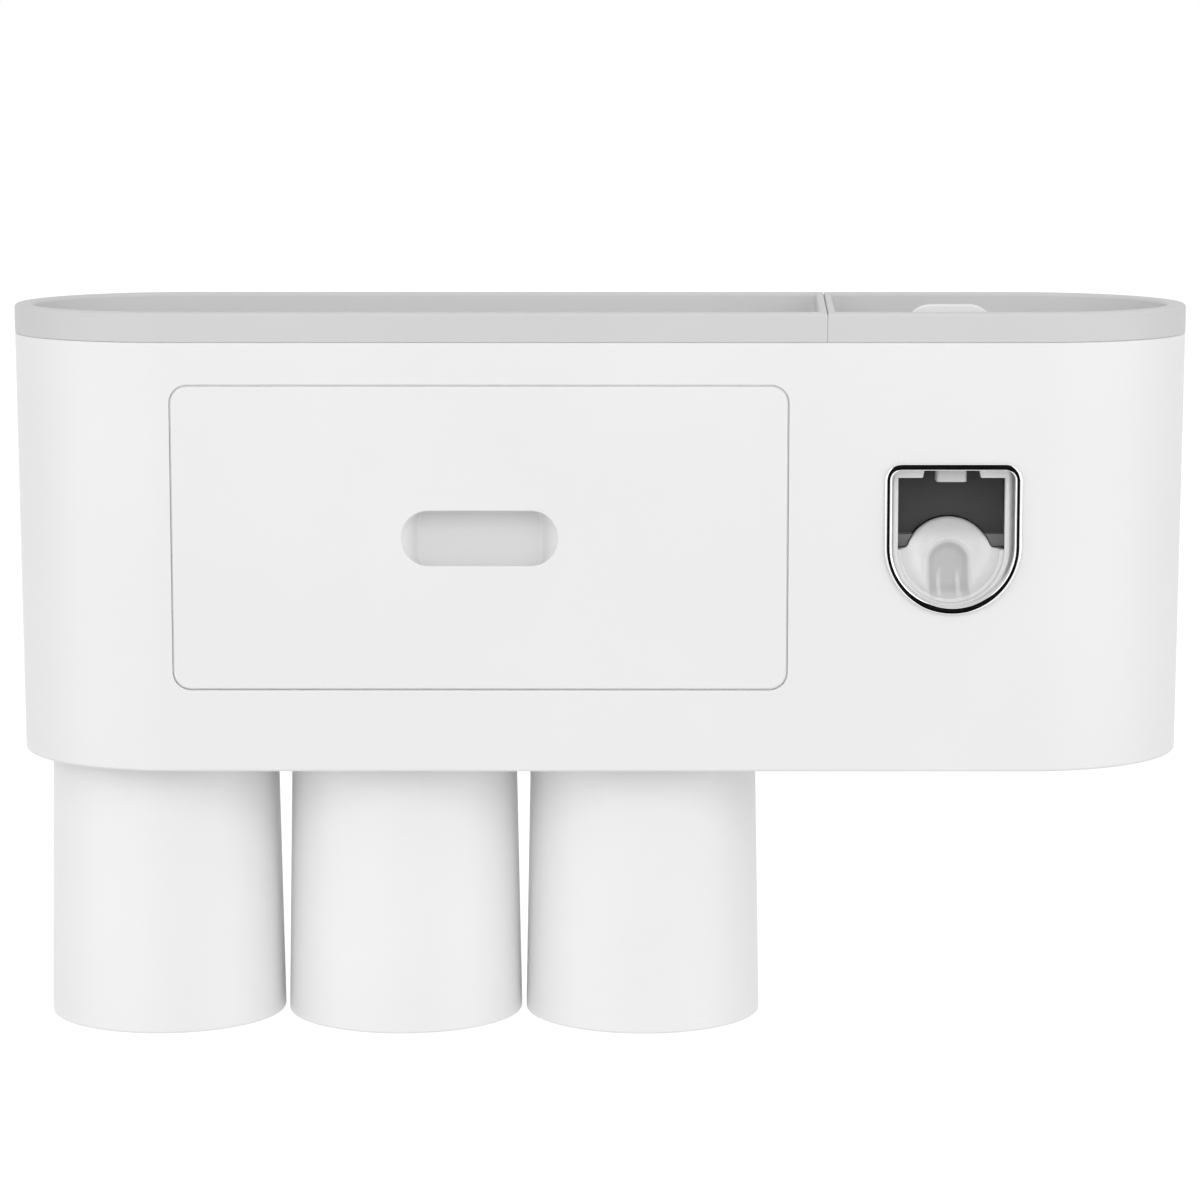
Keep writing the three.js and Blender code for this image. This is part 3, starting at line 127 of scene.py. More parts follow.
# Drawer: left, low, right and high edges of its panel and of its box, then the panel and the pull
DRAWER = (-127.5, -72.7, 55.8, 18.1)
BOX_EDGE = (-123.5, -68.6, 51.8, 14)
DRAWER_X = (DRAWER[0] + DRAWER[2]) / 2
DRAWER_Z = (DRAWER[1] + DRAWER[3]) / 2
DRAWER_CORNER = 5
PANEL_THICK = 2.5
PANEL_STEP = 0.9
PANEL_STEP_SLOPE = 0.1
PANEL_STEP_ROUND = 0.05
PANEL_ROUND = 0.35
PANEL_BACKING_GAP = 0.06
PULL_LENGTH = 47
PULL_HEIGHT = 16.5
PULL_DEPTH = 9
PULL_WALL = 1.8
PULL_WALL_SLOPE = 0.6
PULL_SLOPE_ENDS = 5
PULL_SLOPE_TOP = 0.6
PULL_UNDERCUT = 1.3
PULL_MOUTH_ROUND = 0.4
PULL_FLOOR_ROUND = 0.9
PULL_END_SHARE = 0.995  # radius of the pull's ends, as a share of half its height
PULL_END_LOSS = 0.7  # how much of that share is lost towards the floor
PLUG_INSET = 2.1
PLUG_WALL = 1.8
PLUG_NEAR = 2.4
PLUG_FAR = 7.7
PLUG_UNDER_TOP = 1
PLUG_CORNER = 1

# Cups
CUP_XS = (-135.6, -61.1, 13.4)
CUP_TOP = 126.8
CUP_LENGTH = 95.3
CUP_END_RADIUS = 34.8
CUP_MOUTH_RADIUS = 36.6
CUP_WALL = 1.9
CUP_END_THICK = 2.4
CUP_SHOULDER = 3
CUP_INNER_SHOULDER = 3.5
CUP_LIP_ROUND = 0.8
CUP_INNER_LIP_ROUND = 0.7
DISC_RADIUS = 12.9
DISC_RECESS = 2.3
RECESS_ROUND = 0.3
RECESS_FLOOR_ROUND = 0.2
PAD_ROUND = 0.6
PAD_FOOT_ROUND = 0.5
NEAR_AXIS = 0.01

# Dispenser window and its bezel
DISPENSER_X = 105.3
WINDOW_TOP = 44.7
WINDOW_CENTRE = 69.6
BEZEL_HALF = 20.4
BEZEL_CORNER = 5
BEZEL_INNER_CORNER = 1
BEZEL_PROUD = 1
BEZEL_LIP = 2.1
BEZEL_LIP_BACK = 0.21
CROWN_RADIUS = 1.7
CROWN_TURN = 36
CROWN_SIDE = 0.2
SLEEVE_WALL = 1
SLEEVE_END = 5.6

# Dispenser case: walls, front lip and the bars beside the notch for the nozzle
CASE_CENTRE = 71.6
CASE_FRONT = 6.1
CASE_END = 88
CASE_HALF = 19
CASE_WALL = 2
CASE_OPENING = 16
CASE_WALL_NEAR = 9.2
CASE_WALL_INNER_NEAR = 8.4
CASE_INTO_FLANGE = 0.6
CASE_EDGE = 0.2
EDGE_TURN_SHARE = 0.3
LIP_END = 9.4
LIP_SHOULDER = 8.6
LIP_SLOPE_END = 7.1
LIP_SLOPE_INSET = 0.5
LIP_FLAT = 1.3
LIP_INNER_END = 8.1
LIP_OVERLAP = 0.3
NOTCH_HALF = 8.7
NOTCH_TAPER = 0.9
NOTCH_BEND = 0.4
BAR_EDGE = 49.7
BAR_SET_BACK = 0.05
BAR_INTO_LIP = 0.6
BAR_INTO_FRONT = 1

# Flange of the case and its lift tab
FLANGE_UNDER = 15.2
FLANGE_TOP = 13.2
FLANGE_HALF = 22.5
FLANGE_END = 93.8
FLANGE_CORNER = 3.5
FLANGE_LOW_ROUND = 0.3
FLANGE_TOP_ROUND = 0.6
WELL_NEAR = 34
WELL_LEDGE = 1.5
WELL_CORNER = 6
TAB_NEAR = 20.7
TAB_THICK = 2.5
TAB_TOP = -1.2
TAB_HALF = 13
TAB_TOP_HALF = 8.6
TAB_SHOULDER = 3.8
TAB_SHOULDER_ROUND = 2.5
TAB_TOP_ROUND = 8
TAB_FOOT_ROUND = 0.2
TAB_INTO_FLANGE = 1
TAB_EDGE = 0.7

# Pusher: bowl, dome, and the niche with its bead and ribs
BOWL_FRONT = 8.6
BOWL_END = 19.1
BOWL_BACK_WALL = 16.1
BOWL_RADIUS = 16.5
BOWL_INSIDE = 14.9
BOWL_SQUARENESS = 4
BOWL_RIM = 71.6
BOWL_EDGE_ROUND = 0.8
BOWL_TAPER = 1.2
TAPER_FROM = 2
TAPER_OVER = 3
RIM_FILLET = 1.2
DOME_RADIUS = 13.4
DOME_TOP = 62.6
DOME_ROUND = 2.4
DOME_ROUND_FROM = 1
DOME_ROUND_TO = 5
NICHE_HALF = 7.1
NICHE_TOP = 69.1
NICHE_END = 87
NICHE_DEPTH = 2.3
NICHE_SIDE = 3.6
NICHE_SIDE_END = 0.2
NICHE_FADE = 11
BEAD_HEIGHT = 0.6
BEAD_HALF = 0.8
RIB_AT = 2.9
RIB_HALF = 0.8
RIB_TOP = 77.5
RIB_HEIGHT = 0.5
RIB_START = 2
PLUNGER_AXIS = 77
HUB_HOLE = 2.9
HUB_RADIUS = 5
HUB_LENGTH = 4
HUB_OVERLAP = 0.1

# Return spring
SPRING_RADIUS = 6.4
SPRING_WIRE = 0.4
SPRING_CURLS = 8
SPRING_NEAR = 19.4
SPRING_FAR = 50.1

# Socket for the tube's neck, and its clamp ring
SOCKET_AT = 67.4
SOCKET_SEAT = 2.8
SOCKET_BORE = 2.2
SOCKET_STEM = 5.3
SOCKET_FLANGE = 11
SOCKET_FLANGE_THICK = 2
SOCKET_NECK = 9.5
SOCKET_MOUTH = 10.5
SOCKET_MOUTH_INSIDE = 8.5
SOCKET_RISE = 10
RING_INSIDE = 10.3
RING_STEP = 11.3
RING_OUTSIDE = 13.3
RING_OVER_SEAT = 2.3
RING_THICK = 2

# Pump body: top of its guide blocks
GUIDE_TOP = 67.8

# Fineness of the curves
END_STEPS = 96
ROUND_STEPS = 24
CORNER_STEPS = 4
FINE_CORNER_STEPS = 6
WINDOW_CORNER_STEPS = 8
BEZEL_STEPS = 36
CROWN_STEPS = 16
SCREW_SIDES = 16
FILLET_STEPS = 12
DOME_STEPS = 120
BOWL_STEPS = 240
SLOT_STEPS = 8
BOSS_SEGMENTS = 32
HUB_SEGMENTS = 48
POCKET_SEGMENTS = 64
CUP_SEGMENTS = 128
BOWL_POINTS = 320
BOWL_RINGS = 60
CURL_STEPS = 40
WIRE_SIDES = 10

# Reach of a point that only gives the rounded corner beside it a direction
RUN_IN = 4

# Surfaces
NOISE_LOW = 0.3
NOISE_HIGH = 0.7
CLOUD_SCALE = 14
GLOSS_SCALE = 160
GLOSS_SPREAD = 0.03
GRAIN_HEIGHT = 0.0001
COAT_ROUGHNESS = 0.12
# Painted shade inside the pusher's niche, and the lighter streaks of painted highlight left on its ribs
NICHE_SHADE_FROM = 1.8
NICHE_SHADE_TO = 0.5
NICHE_SHADE_RISE = 3
RIB_LIGHT_HALF = RIB_HALF * 0.4
RIB_LIGHT_END = RIB_HALF * 1.2
RIB_LIGHT_DROP = 5
RIB_LIGHT_SHARE = 0.7
SOFT_EDGE = 0.25
LEAST_SOFT_ANGLE = math.radians(35)
FLAT_ANGLE = math.radians(1)
WELD_DISTANCE = 0.00001

# Studio, in metres and watts
WORLD_STRENGTH = 0.68
FLOOR_SIZE = 80
FLOOR_Z = -1.6
FLOOR_GLOW = 0.5
LAMP_TARGET = (0, -0.05, 0)


def below(drop):
    return RIM_Z - drop


def behind(depth):
    return FRONT_Y + depth


def lean(z):
    return DRAFT * (RIM_Z - z)


# Outlines, as lists of points in a plane
def arc(x, y, radius, start, end, steps):
    turns = [math.radians(start + (end - start) * i / steps) for i in range(steps + 1)]
    return [(x + radius * math.cos(t), y + radius * math.sin(t)) for t in turns]


def circle(x, y, radius, sides):
    return arc(x, y, radius, 0, 360 * (sides - 1) / sides, sides - 1)


def rounded_rect(x0, y0, x1, y1, radius, steps=12):
    return (
        arc(x1 - radius, y0 + radius, radius, -90, 0, steps)
        + arc(x1 - radius, y1 - radius, radius, 0, 90, steps)
        + arc(x0 + radius, y1 - radius, radius, 90, 180, steps)
        + arc(x0 + radius, y0 + radius, radius, 180, 270, steps)
    )


def stadium(inset):
    radius = END_RADIUS - inset
    right = arc(END_X, MID_Y, radius, -90, 90, END_STEPS)
    return right + arc(-END_X, MID_Y, radius, 90, 270, END_STEPS)


def tray_outline(side, inset, seam_inset, corner):
    """One end of the stadium, cut off at the slanting seam with small rounded corners."""
    radius = END_RADIUS - inset
    seam = side * SEAM_X + SEAM_GAP / 2 + seam_inset
    near = arc(seam + corner, MID_Y - radius + corner, corner, 180, 270, CORNER_STEPS)
    far = arc(seam + corner, MID_Y + radius - corner, corner, 90, 180, CORNER_STEPS)
    slant = side * SEAM_SLANT / DEPTH
    near, far = ([(x + slant * (y - FRONT_Y), y) for x, y in end] for end in (near, far))
    points = near + arc(END_X, MID_Y, radius, -90, 90, END_STEPS) + far
    return [(side * x, y) for x, y in points]


def u_outline(half, top, corner, steps=ROUND_STEPS):
    """Flat top with rounded corners, straight sides and a round bottom about the window's centre."""
    reach = half - corner
    points = arc(DISPENSER_X + reach, top - corner, corner, 0, 90, WINDOW_CORNER_STEPS)
    points += arc(DISPENSER_X - reach, top - corner, corner, 90, 180, WINDOW_CORNER_STEPS)
    return points + arc(DISPENSER_X, below(WINDOW_CENTRE), half, 180, 360, steps * 2)


def open_u(half, top):
    """The sides and the round bottom of the case, from its left-hand top to its right-hand top."""
    bottom = arc(DISPENSER_X, below(CASE_CENTRE), half, 180, 360, ROUND_STEPS * 2)
    return [(DISPENSER_X - half, top)] + bottom + [(DISPENSER_X + half, top)]


def rounded_line(corners, closed=False, steps=CORNER_STEPS):
    """A line through corners given as (u, v, radius), with each corner rounded."""
    line = []
    last = len(corners) - 1
    for i, (u, v, radius) in enumerate(corners):
        if radius == 0 or (not closed and i in (0, last)):
            line.append((u, v))
            continue
        here = Vector((u, v))
        back = (Vector(corners[i - 1][:2]) - here).normalized()
        on = (Vector(corners[(i + 1) % len(corners)][:2]) - here).normalized()
        half = back.angle(on) / 2
        centre = here + (back + on).normalized() * (radius / math.sin(half))
        start = here + back * (radius / math.tan(half)) - centre
        end = here + on * (radius / math.tan(half)) - centre
        for k in range(steps + 1):
            spoke = start.lerp(end, k / steps).normalized() * radius
            line.append(tuple(centre + spoke))
    return line


# Outlines set into space
def at_height(outline, z):
    return [(x, y, z) for x, y in outline]


def at_depth(outline, depth):
    return [(x, behind(depth), z) for x, z in outline]


def on_front(outline, inset):
    return [(x, behind(lean(z) + inset), z) for x, z in outline]


def on_rear(outline, inset):
    return [(x, MID_Y + END_RADIUS - lean(z) - inset, z) for x, z in outline]


# Mesh building
def skin(bm, rows, around=True, along=False, skip=None):
    """Quads between rows of points; skip holds (row, place) pairs to leave open."""
    made = [[bm.verts.new(Vector(p) * MM) for p in row] for row in rows]
    count = len(made[0])
    for k in range(len(made) if along else len(made) - 1):
        near, far = made[k], made[(k + 1) % len(made)]
        for i in range(count if around else count - 1):
            if not skip or (k, i) not in skip:
                j = (i + 1) % count
                bm.faces.new((near[i], near[j], far[j], far[i]))
    return made


def fill(bm, *loops):
    """A flat face inside the first loop, with the other loops as holes."""
    edges = []
    for loop in loops:
        for a, b in zip(loop, loop[1:] + loop[:1]):
            edges.append(bm.edges.get((a, b)) or bm.edges.new((a, b)))
    bmesh.ops.triangle_fill(bm, use_beauty=True, use_dissolve=False, edges=edges)


def close_ends(bm, made):
    bm.faces.new(made[0])
    bm.faces.new(made[-1])


def turned(bm, place, profile, segments=96, closed=False):
    """A profile of (radius, height) turned about an axis; place gives the point for a turn."""
    turns = [2 * math.pi * i / segments for i in range(segments)]
    made = skin(bm, [[place(r, h, t) for t in turns] for r, h in profile], along=closed)
    if not closed:
        close_ends(bm, made)


def add_tube(bm, place, inside, outside, start, end, segments):
    profile = [(inside, start), (outside, start), (outside, end), (inside, end)]
    turned(bm, place, profile, segments, closed=True)


def upright(x, y):
    return lambda r, h, t: (x + r * math.cos(t), y + r * math.sin(t), h)


def lengthwise(x, z):
    return lambda r, d, t: (x + r * math.cos(t), behind(d), z + r * math.sin(t))


def even_normals(obj):
    obj.data.polygons.foreach_set("use_smooth", [True] * len(obj.data.polygons))
    normals = obj.modifiers.new("even_normals", "WEIGHTED_NORMAL")
    normals.weight = 50


def piece(name, bm, material, body, nodes):
    """Turns the mesh into an object that rides on its body and stands for its CAD nodes."""
    bmesh.ops.recalc_face_normals(bm, faces=bm.faces)
    mesh = bpy.data.meshes.new(name)
    bm.to_mesh(mesh)
    bm.free()
    mesh.materials.append(material)
    obj = bpy.data.objects.new(name, mesh)
    bpy.context.scene.collection.objects.link(obj)
    even_normals(obj)
    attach(obj, body)
    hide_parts(*nodes)
    return obj


# Materials
def tone(value, warmth=0.0):
    return (value, value, value * (1 - warmth))


def noise(tree, where, scale, detail):
    node = tree.nodes.new("ShaderNodeTexNoise")
    node.inputs["Scale"].default_value = scale
    node.inputs["Detail"].default_value = detail
    tree.links.new(where.outputs["Object"], node.inputs["Vector"])
    return node.outputs["Fac"]


def spread(tree, value, low, high):
    node = tree.nodes.new("ShaderNodeMapRange")
    node.inputs["From Min"].default_value = NOISE_LOW
    node.inputs["From Max"].default_value = NOISE_HIGH
    node.inputs["To Min"].default_value = low
    node.inputs["To Max"].default_value = high
    tree.links.new(value, node.inputs["Value"])
    return node.outputs["Result"]


def clouded(tree, where, dark, light):
    ramp = tree.nodes.new("ShaderNodeValToRGB")
    ends = ramp.color_ramp.elements
    for end, position, colour in zip(ends, (NOISE_LOW, NOISE_HIGH), (dark, light)):
        end.position = position
        end.color = (*colour, 1)
    tree.links.new(noise(tree, where, CLOUD_SCALE, 3), ramp.inputs["Fac"])
    return ramp.outputs["Color"]


def moulded(name, dark, light, roughness, grain=2600, depth=0.006, metallic=0.0, coat=0.0):
    """Moulded or plated surface: faint clouds of tone and gloss, and a fine grain."""
    material = bpy.data.materials.new(name)
    material.use_nodes = True
    tree = material.node_tree
    shader = tree.nodes["Principled BSDF"]
    where = tree.nodes.new("ShaderNodeTexCoord")
    tree.links.new(clouded(tree, where, dark, light), shader.inputs["Base Color"])
    gloss = noise(tree, where, GLOSS_SCALE, 4)
    gloss = spread(tree, gloss, roughness - GLOSS_SPREAD, roughness + GLOSS_SPREAD)
    tree.links.new(gloss, shader.inputs["Roughness"])
    bump = tree.nodes.new("ShaderNodeBump")
    bump.inputs["Strength"].default_value = depth
    bump.inputs["Distance"].default_value = GRAIN_HEIGHT
    tree.links.new(noise(tree, where, grain, 2), bump.inputs["Height"])
    tree.links.new(bump.outputs["Normal"], shader.inputs["Normal"])
    shader.inputs["Metallic"].default_value = metallic
    shader.inputs["Coat Weight"].default_value = coat
    shader.inputs["Coat Roughness"].default_value = COAT_ROUGHNESS
    return material


def worked(tree, operation, first, second=0):
    """A sum of a socket with a number or with another socket."""
    node = tree.nodes.new("ShaderNodeMath")
    node.operation = operation
    tree.links.new(first, node.inputs[0])
    if isinstance(second, (int, float)):
        node.inputs[1].default_value = second
    else:
        tree.links.new(second, node.inputs[1])
    return node.outputs[0]


def eased(tree, value, start, end):
    """1 up to start, falling to 0 at end."""
    node = tree.nodes.new("ShaderNodeMapRange")
    node.interpolation_type = "SMOOTHSTEP"
    node.inputs["From Min"].default_value = start * MM
    node.inputs["From Max"].default_value = end * MM
    node.inputs["To Min"].default_value = 1
    node.inputs["To Max"].default_value = 0
    tree.links.new(value, node.inputs["Value"])
    return node.outputs["Result"]


def places(tree):
    where = tree.nodes.new("ShaderNodeTexCoord")
    axes = tree.nodes.new("ShaderNodeSeparateXYZ")
    tree.links.new(where.outputs["Object"], axes.inputs[0])
    return axes.outputs


def tint_and_painted_shade(material, amount, share):
    """Brings the material's tone down to a share of itself where amount is 1: painted shade on the drawer
    and the pusher, and the pump body's darker upper tone.
    """
    tree = material.node_tree
    colour = tree.nodes["Principled BSDF"].inputs["Base Color"]
    mix = tree.nodes.new("ShaderNodeMixRGB")
    mix.blend_type = "MULTIPLY"
    mix.inputs["Color2"].default_value = (*tone(share), 1)
    tree.links.new(amount, mix.inputs["Fac"])
    tree.links.new(colour.links[0].from_socket, mix.inputs["Color1"])
    tree.links.new(mix.outputs[0], colour)


def past(tree, axis, level, blend):
    """1 past a level along an axis, reached from 0 over a blend."""
    back = worked(tree, "MULTIPLY", places(tree)[axis], -1)
    return eased(tree, back, -level - blend, -level)


def darken_past(material, axis, level, blend, share):
    tint_and_painted_shade(material, past(material.node_tree, axis, level, blend), share)


def niche_inside(tree, across):
    """1 within the arched outline of the pusher's niche, across being the distance from its middle: where
    the niche's painted shade goes.
    """
    axes = places(tree)
    spring_line = below(NICHE_TOP + NICHE_HALF)
    up = worked(tree, "MAXIMUM", worked(tree, "SUBTRACT", axes["Z"], spring_line * MM))
    squares = worked(tree, "MULTIPLY", up, up)
    squares = worked(tree, "ADD", worked(tree, "MULTIPLY", across, across), squares)
    reach = worked(tree, "POWER", squares, 0.5)
    inside = eased(tree, reach, NICHE_HALF - NICHE_SHADE_FROM, NICHE_HALF - NICHE_SHADE_TO)
    above_end = past(tree, "Z", below(NICHE_END), NICHE_SHADE_RISE)
    return worked(tree, "MULTIPLY", inside, above_end)


def rib_share(tree, across):
    """How much of the niche's painted shade its two ribs do without, which leaves them as lighter streaks of
    painted highlight.
    """
    from_rib = worked(tree, "SUBTRACT", worked(tree, "ABSOLUTE", across), RIB_AT * MM)
    rib = eased(tree, worked(tree, "ABSOLUTE", from_rib), RIB_LIGHT_HALF, RIB_LIGHT_END)
    under_top = eased(tree, places(tree)["Z"], below(RIB_TOP + RIB_LIGHT_DROP), below(RIB_TOP))
    return worked(tree, "MULTIPLY", worked(tree, "MULTIPLY", rib, under_top), RIB_LIGHT_SHARE)


def paint_niche_shade(material, share):
    tree = material.node_tree
    across = worked(tree, "SUBTRACT", places(tree)["X"], DISPENSER_X * MM)
    niche_share = worked(tree, "SUBTRACT", niche_inside(tree, across), rib_share(tree, across))
    tint_and_painted_shade(material, worked(tree, "MAXIMUM", niche_share), share)


white = moulded("white_plastic", tone(0.88), tone(0.9), 0.42)
# A lighter copy of the white plastic for the cups: painted light that brings the cups, shaded by the skirt
# and by each other, up to the body's front.
cup_white_painted_light = moulded("cup_plastic_painted_light", tone(0.91), tone(0.93), 0.42)
drawer_white_painted_shade = moulded("drawer_plastic_painted_shade", tone(0.88), tone(0.9), 0.42)
# Painted shade: the drawer's white darkens from 2 mm behind its front towards the floor of its finger pull,
# where the recess is in shade.
darken_past(drawer_white_painted_shade, "Y", level=behind(2), blend=6.5, share=0.85)
grey = moulded("grey_plastic", tone(0.655), tone(0.68), 0.5, depth=0.03)
light_grey = moulded("light_grey_plastic", tone(0.7), tone(0.73), 0.4)
dark_grey = moulded("dark_plastic", tone(0.2), tone(0.215), 0.6, depth=0.05)
darken_past(dark_grey, "Z", level=below(GUIDE_TOP) + 0.05, blend=0.02, share=0.32)
chrome = moulded("chrome", tone(0.86), tone(0.9), 0.04, metallic=1.0, depth=0.002)
steel = moulded("steel", tone(0.5), tone(0.58), 0.32, metallic=1.0, grain=900, depth=0.1)
magnet = moulded("magnet", tone(0.34), tone(0.4), 0.28, metallic=1.0, grain=1200, depth=0.06)
pusher_white_painted_shade = moulded("pusher_plastic_painted_shade", tone(0.89), tone(0.91), 0.3, coat=0.5)
# Painted shade: the pusher darkens towards the top of its dome, which the housing above shades.
darken_past(pusher_white_painted_shade, "Z", level=below(71), blend=7, share=0.72)
# Painted shade inside the niche, kept off the ribs so they stay lighter as painted highlights.
paint_niche_shade(pusher_white_painted_shade, share=0.7)
silicone = moulded("silicone", tone(0.72, -0.02), tone(0.76, -0.02), 0.55, grain=1400, depth=0.1)
foam = moulded("foam_sheet", tone(0.74, 0.05), tone(0.82, 0.05), 0.9, grain=1100, depth=0.6)


# Housing
def drawer_outline(grow):
    x0, z0, x1, z1 = DRAWER
    return rounded_rect(x0 - grow, z0 - grow, x1 + grow, z1 + grow, DRAWER_CORNER + grow)


def window_outline(cover):
    """The hole for the bezel, covered by so much of its lip."""
    return u_outline(BEZEL_HALF - cover, below(WINDOW_TOP + cover), BEZEL_CORNER - cover)


def front_holes(bm):
    """The mouth for the drawer and the window for the dispenser."""
    mouth = rounded_line([(RUN_IN, 0, 0), (0, 0, DRAWER_MOUTH_ROUND), (0, SHELL_WALL, 0)])[1:]
    drawer_rows = [on_front(drawer_outline(RUNNING + grow), inset) for grow, inset in mouth]
    window_edge = ((WINDOW_SUPPORT, 0), (WINDOW_COVER, 0), (WINDOW_COVER, SHELL_WALL))
    window_rows = [on_front(window_outline(cover), inset) for cover, inset in window_edge]
    return [skin(bm, drawer_rows), skin(bm, window_rows)]


def rear_holes(bm):
    """The slots for the bracket's hooks."""
    made = []
    for x in (-HOOK_X, HOOK_X):
        left, right = x - HOOK_SLOT_HALF, x + HOOK_SLOT_HALF
        outline = rounded_rect(left, HOOK_SLOT_LOW, right, HOOK_SLOT_HIGH, HOOK_SLOT_CORNER)
        made.append(skin(bm, [on_rear(outline, inset) for inset in (0, SHELL_WALL)]))
    return made


def outer_shell():
    bm = bmesh.new()
    top = below(RIM_HEIGHT + SEAT)
    low = below(HEIGHT)
    line = rounded_line([
        (SHELL_WALL, top, SHELL_INNER_TOP_ROUND), (0, top, SHELL_TOP_ROUND),
        (0, low, SHELL_LOW_ROUND), (SHELL_WALL, low, SHELL_INNER_LOW_ROUND),
    ], closed=True)
    per_corner = CORNER_STEPS + 1
    outer_wall = 2 * per_corner - 1
    inner_wall = 4 * per_corner - 1
    front = 2 * END_STEPS + 1
    rear = END_STEPS
    skip = {(wall, face) for wall in (outer_wall, inner_wall) for face in (front, rear)}
    made = skin(bm, [at_height(stadium(inset + lean(z)), z) for inset, z in line], along=True, skip=skip)
    holes = {front: front_holes(bm), rear: rear_holes(bm)}
    for wall, layer in ((outer_wall, 0), (inner_wall, -1)):
        for face, found in holes.items():
            near, far = made[wall], made[(wall + 1) % len(made)]
            after = (face + 1) % len(near)
            edge = [near[face], near[after], far[after], far[face]]
            fill(bm, edge, *[hole[layer] for hole in found])
    add_bosses(bm)
    return piece("shell", bm, white, "housing", ["outer_shell"])


def add_bosses(bm):
    """The four bosses inside the shell that take the base plate's screws."""
    low = below(BASE_UNDER - BASE_THICK - SEAT)
    for x, y in boss_places():
        add_tube(bm, upright(x, y), BOSS_HOLE, BOSS_RADIUS, low, low + BOSS_HEIGHT, BOSS_SEGMENTS)


def boss_places():
    reach = END_RADIUS - lean(below(BASE_UNDER)) - SHELL_WALL - BOSS_FROM_WALL
    across = reach * math.cos(BOSS_TURN)
    deep = reach * math.sin(BOSS_TURN)
    return [(side * (END_X + across), MID_Y + face * deep) for side in (-1, 1) for face in (-1, 1)]


def slot_outline(x):
    """Keyhole for a toothbrush: a wide head at the front and a narrow neck behind it."""
    half = SLOT_HEAD_HALF
    neck = SLOT_NECK_HALF
    near = MID_Y - (SLOT_HEAD_LENGTH + SLOT_NECK_LENGTH) / 2
    middle = near + SLOT_HEAD_LENGTH
    far = middle + SLOT_NECK_LENGTH
    corners = [
        (x - half, near, neck), (x + half, near, neck), (x + half, middle, neck),
        (x + neck, middle, SLOT_THROAT_ROUND), (x + neck, far, SLOT_END_ROUND),
        (x - neck, far, SLOT_END_ROUND), (x - neck, middle, SLOT_THROAT_ROUND), (x - half, middle, neck),
    ]
    return rounded_line(corners, closed=True, steps=SLOT_STEPS)


def base_plate():
    bm = bmesh.new()
    low = below(BASE_UNDER)
    high = low + BASE_THICK
    inset = SHELL_WALL + lean(low) + SEAT
    edge = rounded_line([
        (inset + RUN_IN, low, 0), (inset, low, BASE_ROUND),
        (inset, high, BASE_ROUND), (inset + RUN_IN, high, 0),
    ])[1:-1]
    made = skin(bm, [at_height(stadium(u), z) for u, z in edge])
    holes = [slot_outline(x) for x in SLOT_XS]
    holes += [circle(x, y, SCREW_HOLE, SCREW_SIDES) for x, y in boss_places()]
    walls = [skin(bm, [at_height(hole, z) for z in (low, high)]) for hole in holes]
    fill(bm, made[0], *[wall[0] for wall in walls])
    fill(bm, made[-1], *[wall[1] for wall in walls])
    for x in CUP_XS:
        outside = MAGNET_POCKET + POCKET_WALL
        start, end = high - POCKET_SUNK, high + POCKET_HEIGHT
        add_tube(bm, upright(x, MID_Y), MAGNET_POCKET, outside, start, end, POCKET_SEGMENTS)
    return piece("base", bm, white, "housing", ["base_plate"])


def tray_rows(side, floor_round):
    """Rows from the underside, round the rim and down to the floor."""
    basin = SHELL_WALL + lean(below(TRAY_DROP)) + SEAT
    low = below(TRAY_DROP)
    rim_low = below(RIM_HEIGHT + SEAT) + RIM_LINE
    floor = below(TRAY_DROP - TRAY_FLOOR)
    outside = rounded_line([
        (basin + RUN_IN, low, 0), (basin, low, TRAY_LOW_ROUND), (basin, rim_low, 0),
        (0, rim_low, RIM_LOW_ROUND), (0, RIM_Z, RIM_ROUND), (RIM_WIDTH / 2, RIM_Z, 0),
    ])[1:-1]
    inside = rounded_line([
        (RIM_WIDTH / 2, RIM_Z, 0), (RIM_WIDTH, RIM_Z, RIM_ROUND),
        (RIM_WIDTH, floor, floor_round), (RIM_WIDTH + RUN_IN, floor, 0),
    ])[1:-1]
    rows = []
    for inset, z in outside:
        seam = RIM_SEAM_SHARE * inset if z > below(RIM_HEIGHT / 2) else 0
        rows.append(at_height(tray_outline(side, inset, seam, TRAY_CORNER), z))
    for inset, z in inside:
        share = RIM_INNER_SHARE if inset < RIM_WIDTH else 1
        seam = TRAY_END_WALL + (inset - RIM_WIDTH) * share
        corner = max(TRAY_INNER_CORNER - max(inset - RIM_WIDTH, 0), TRAY_LEAST_CORNER)
        rows.append(at_height(tray_outline(side, inset, seam, corner), z))
    return rows


def storage_tray():
    bm = bmesh.new()
    close_ends(bm, skin(bm, tray_rows(-1, STORAGE_FLOOR_ROUND)))
    return piece("tray_left", bm, grey, "storage_tray", ["storage_tray"])


def bay_tray():
    bm = bmesh.new()
    made = skin(bm, tray_rows(1, BAY_FLOOR_ROUND))
    x0, x1 = DISPENSER_X - CASE_HALF - RUNNING, DISPENSER_X + CASE_HALF + RUNNING
    near, far = behind(RIM_WIDTH + BAY_HOLE_FROM_RIM), behind(BAY_HOLE_FAR)
    hole = rounded_rect(x0, near, x1, far, BAY_HOLE_CORNER, CORNER_STEPS)
    wall = skin(bm, [at_height(hole, below(drop)) for drop in (TRAY_DROP, TRAY_DROP - TRAY_FLOOR)])
    fill(bm, made[0], wall[0])
    fill(bm, made[-1], wall[1])
    return piece("tray_right", bm, grey, "housing", ["bay_tray"])


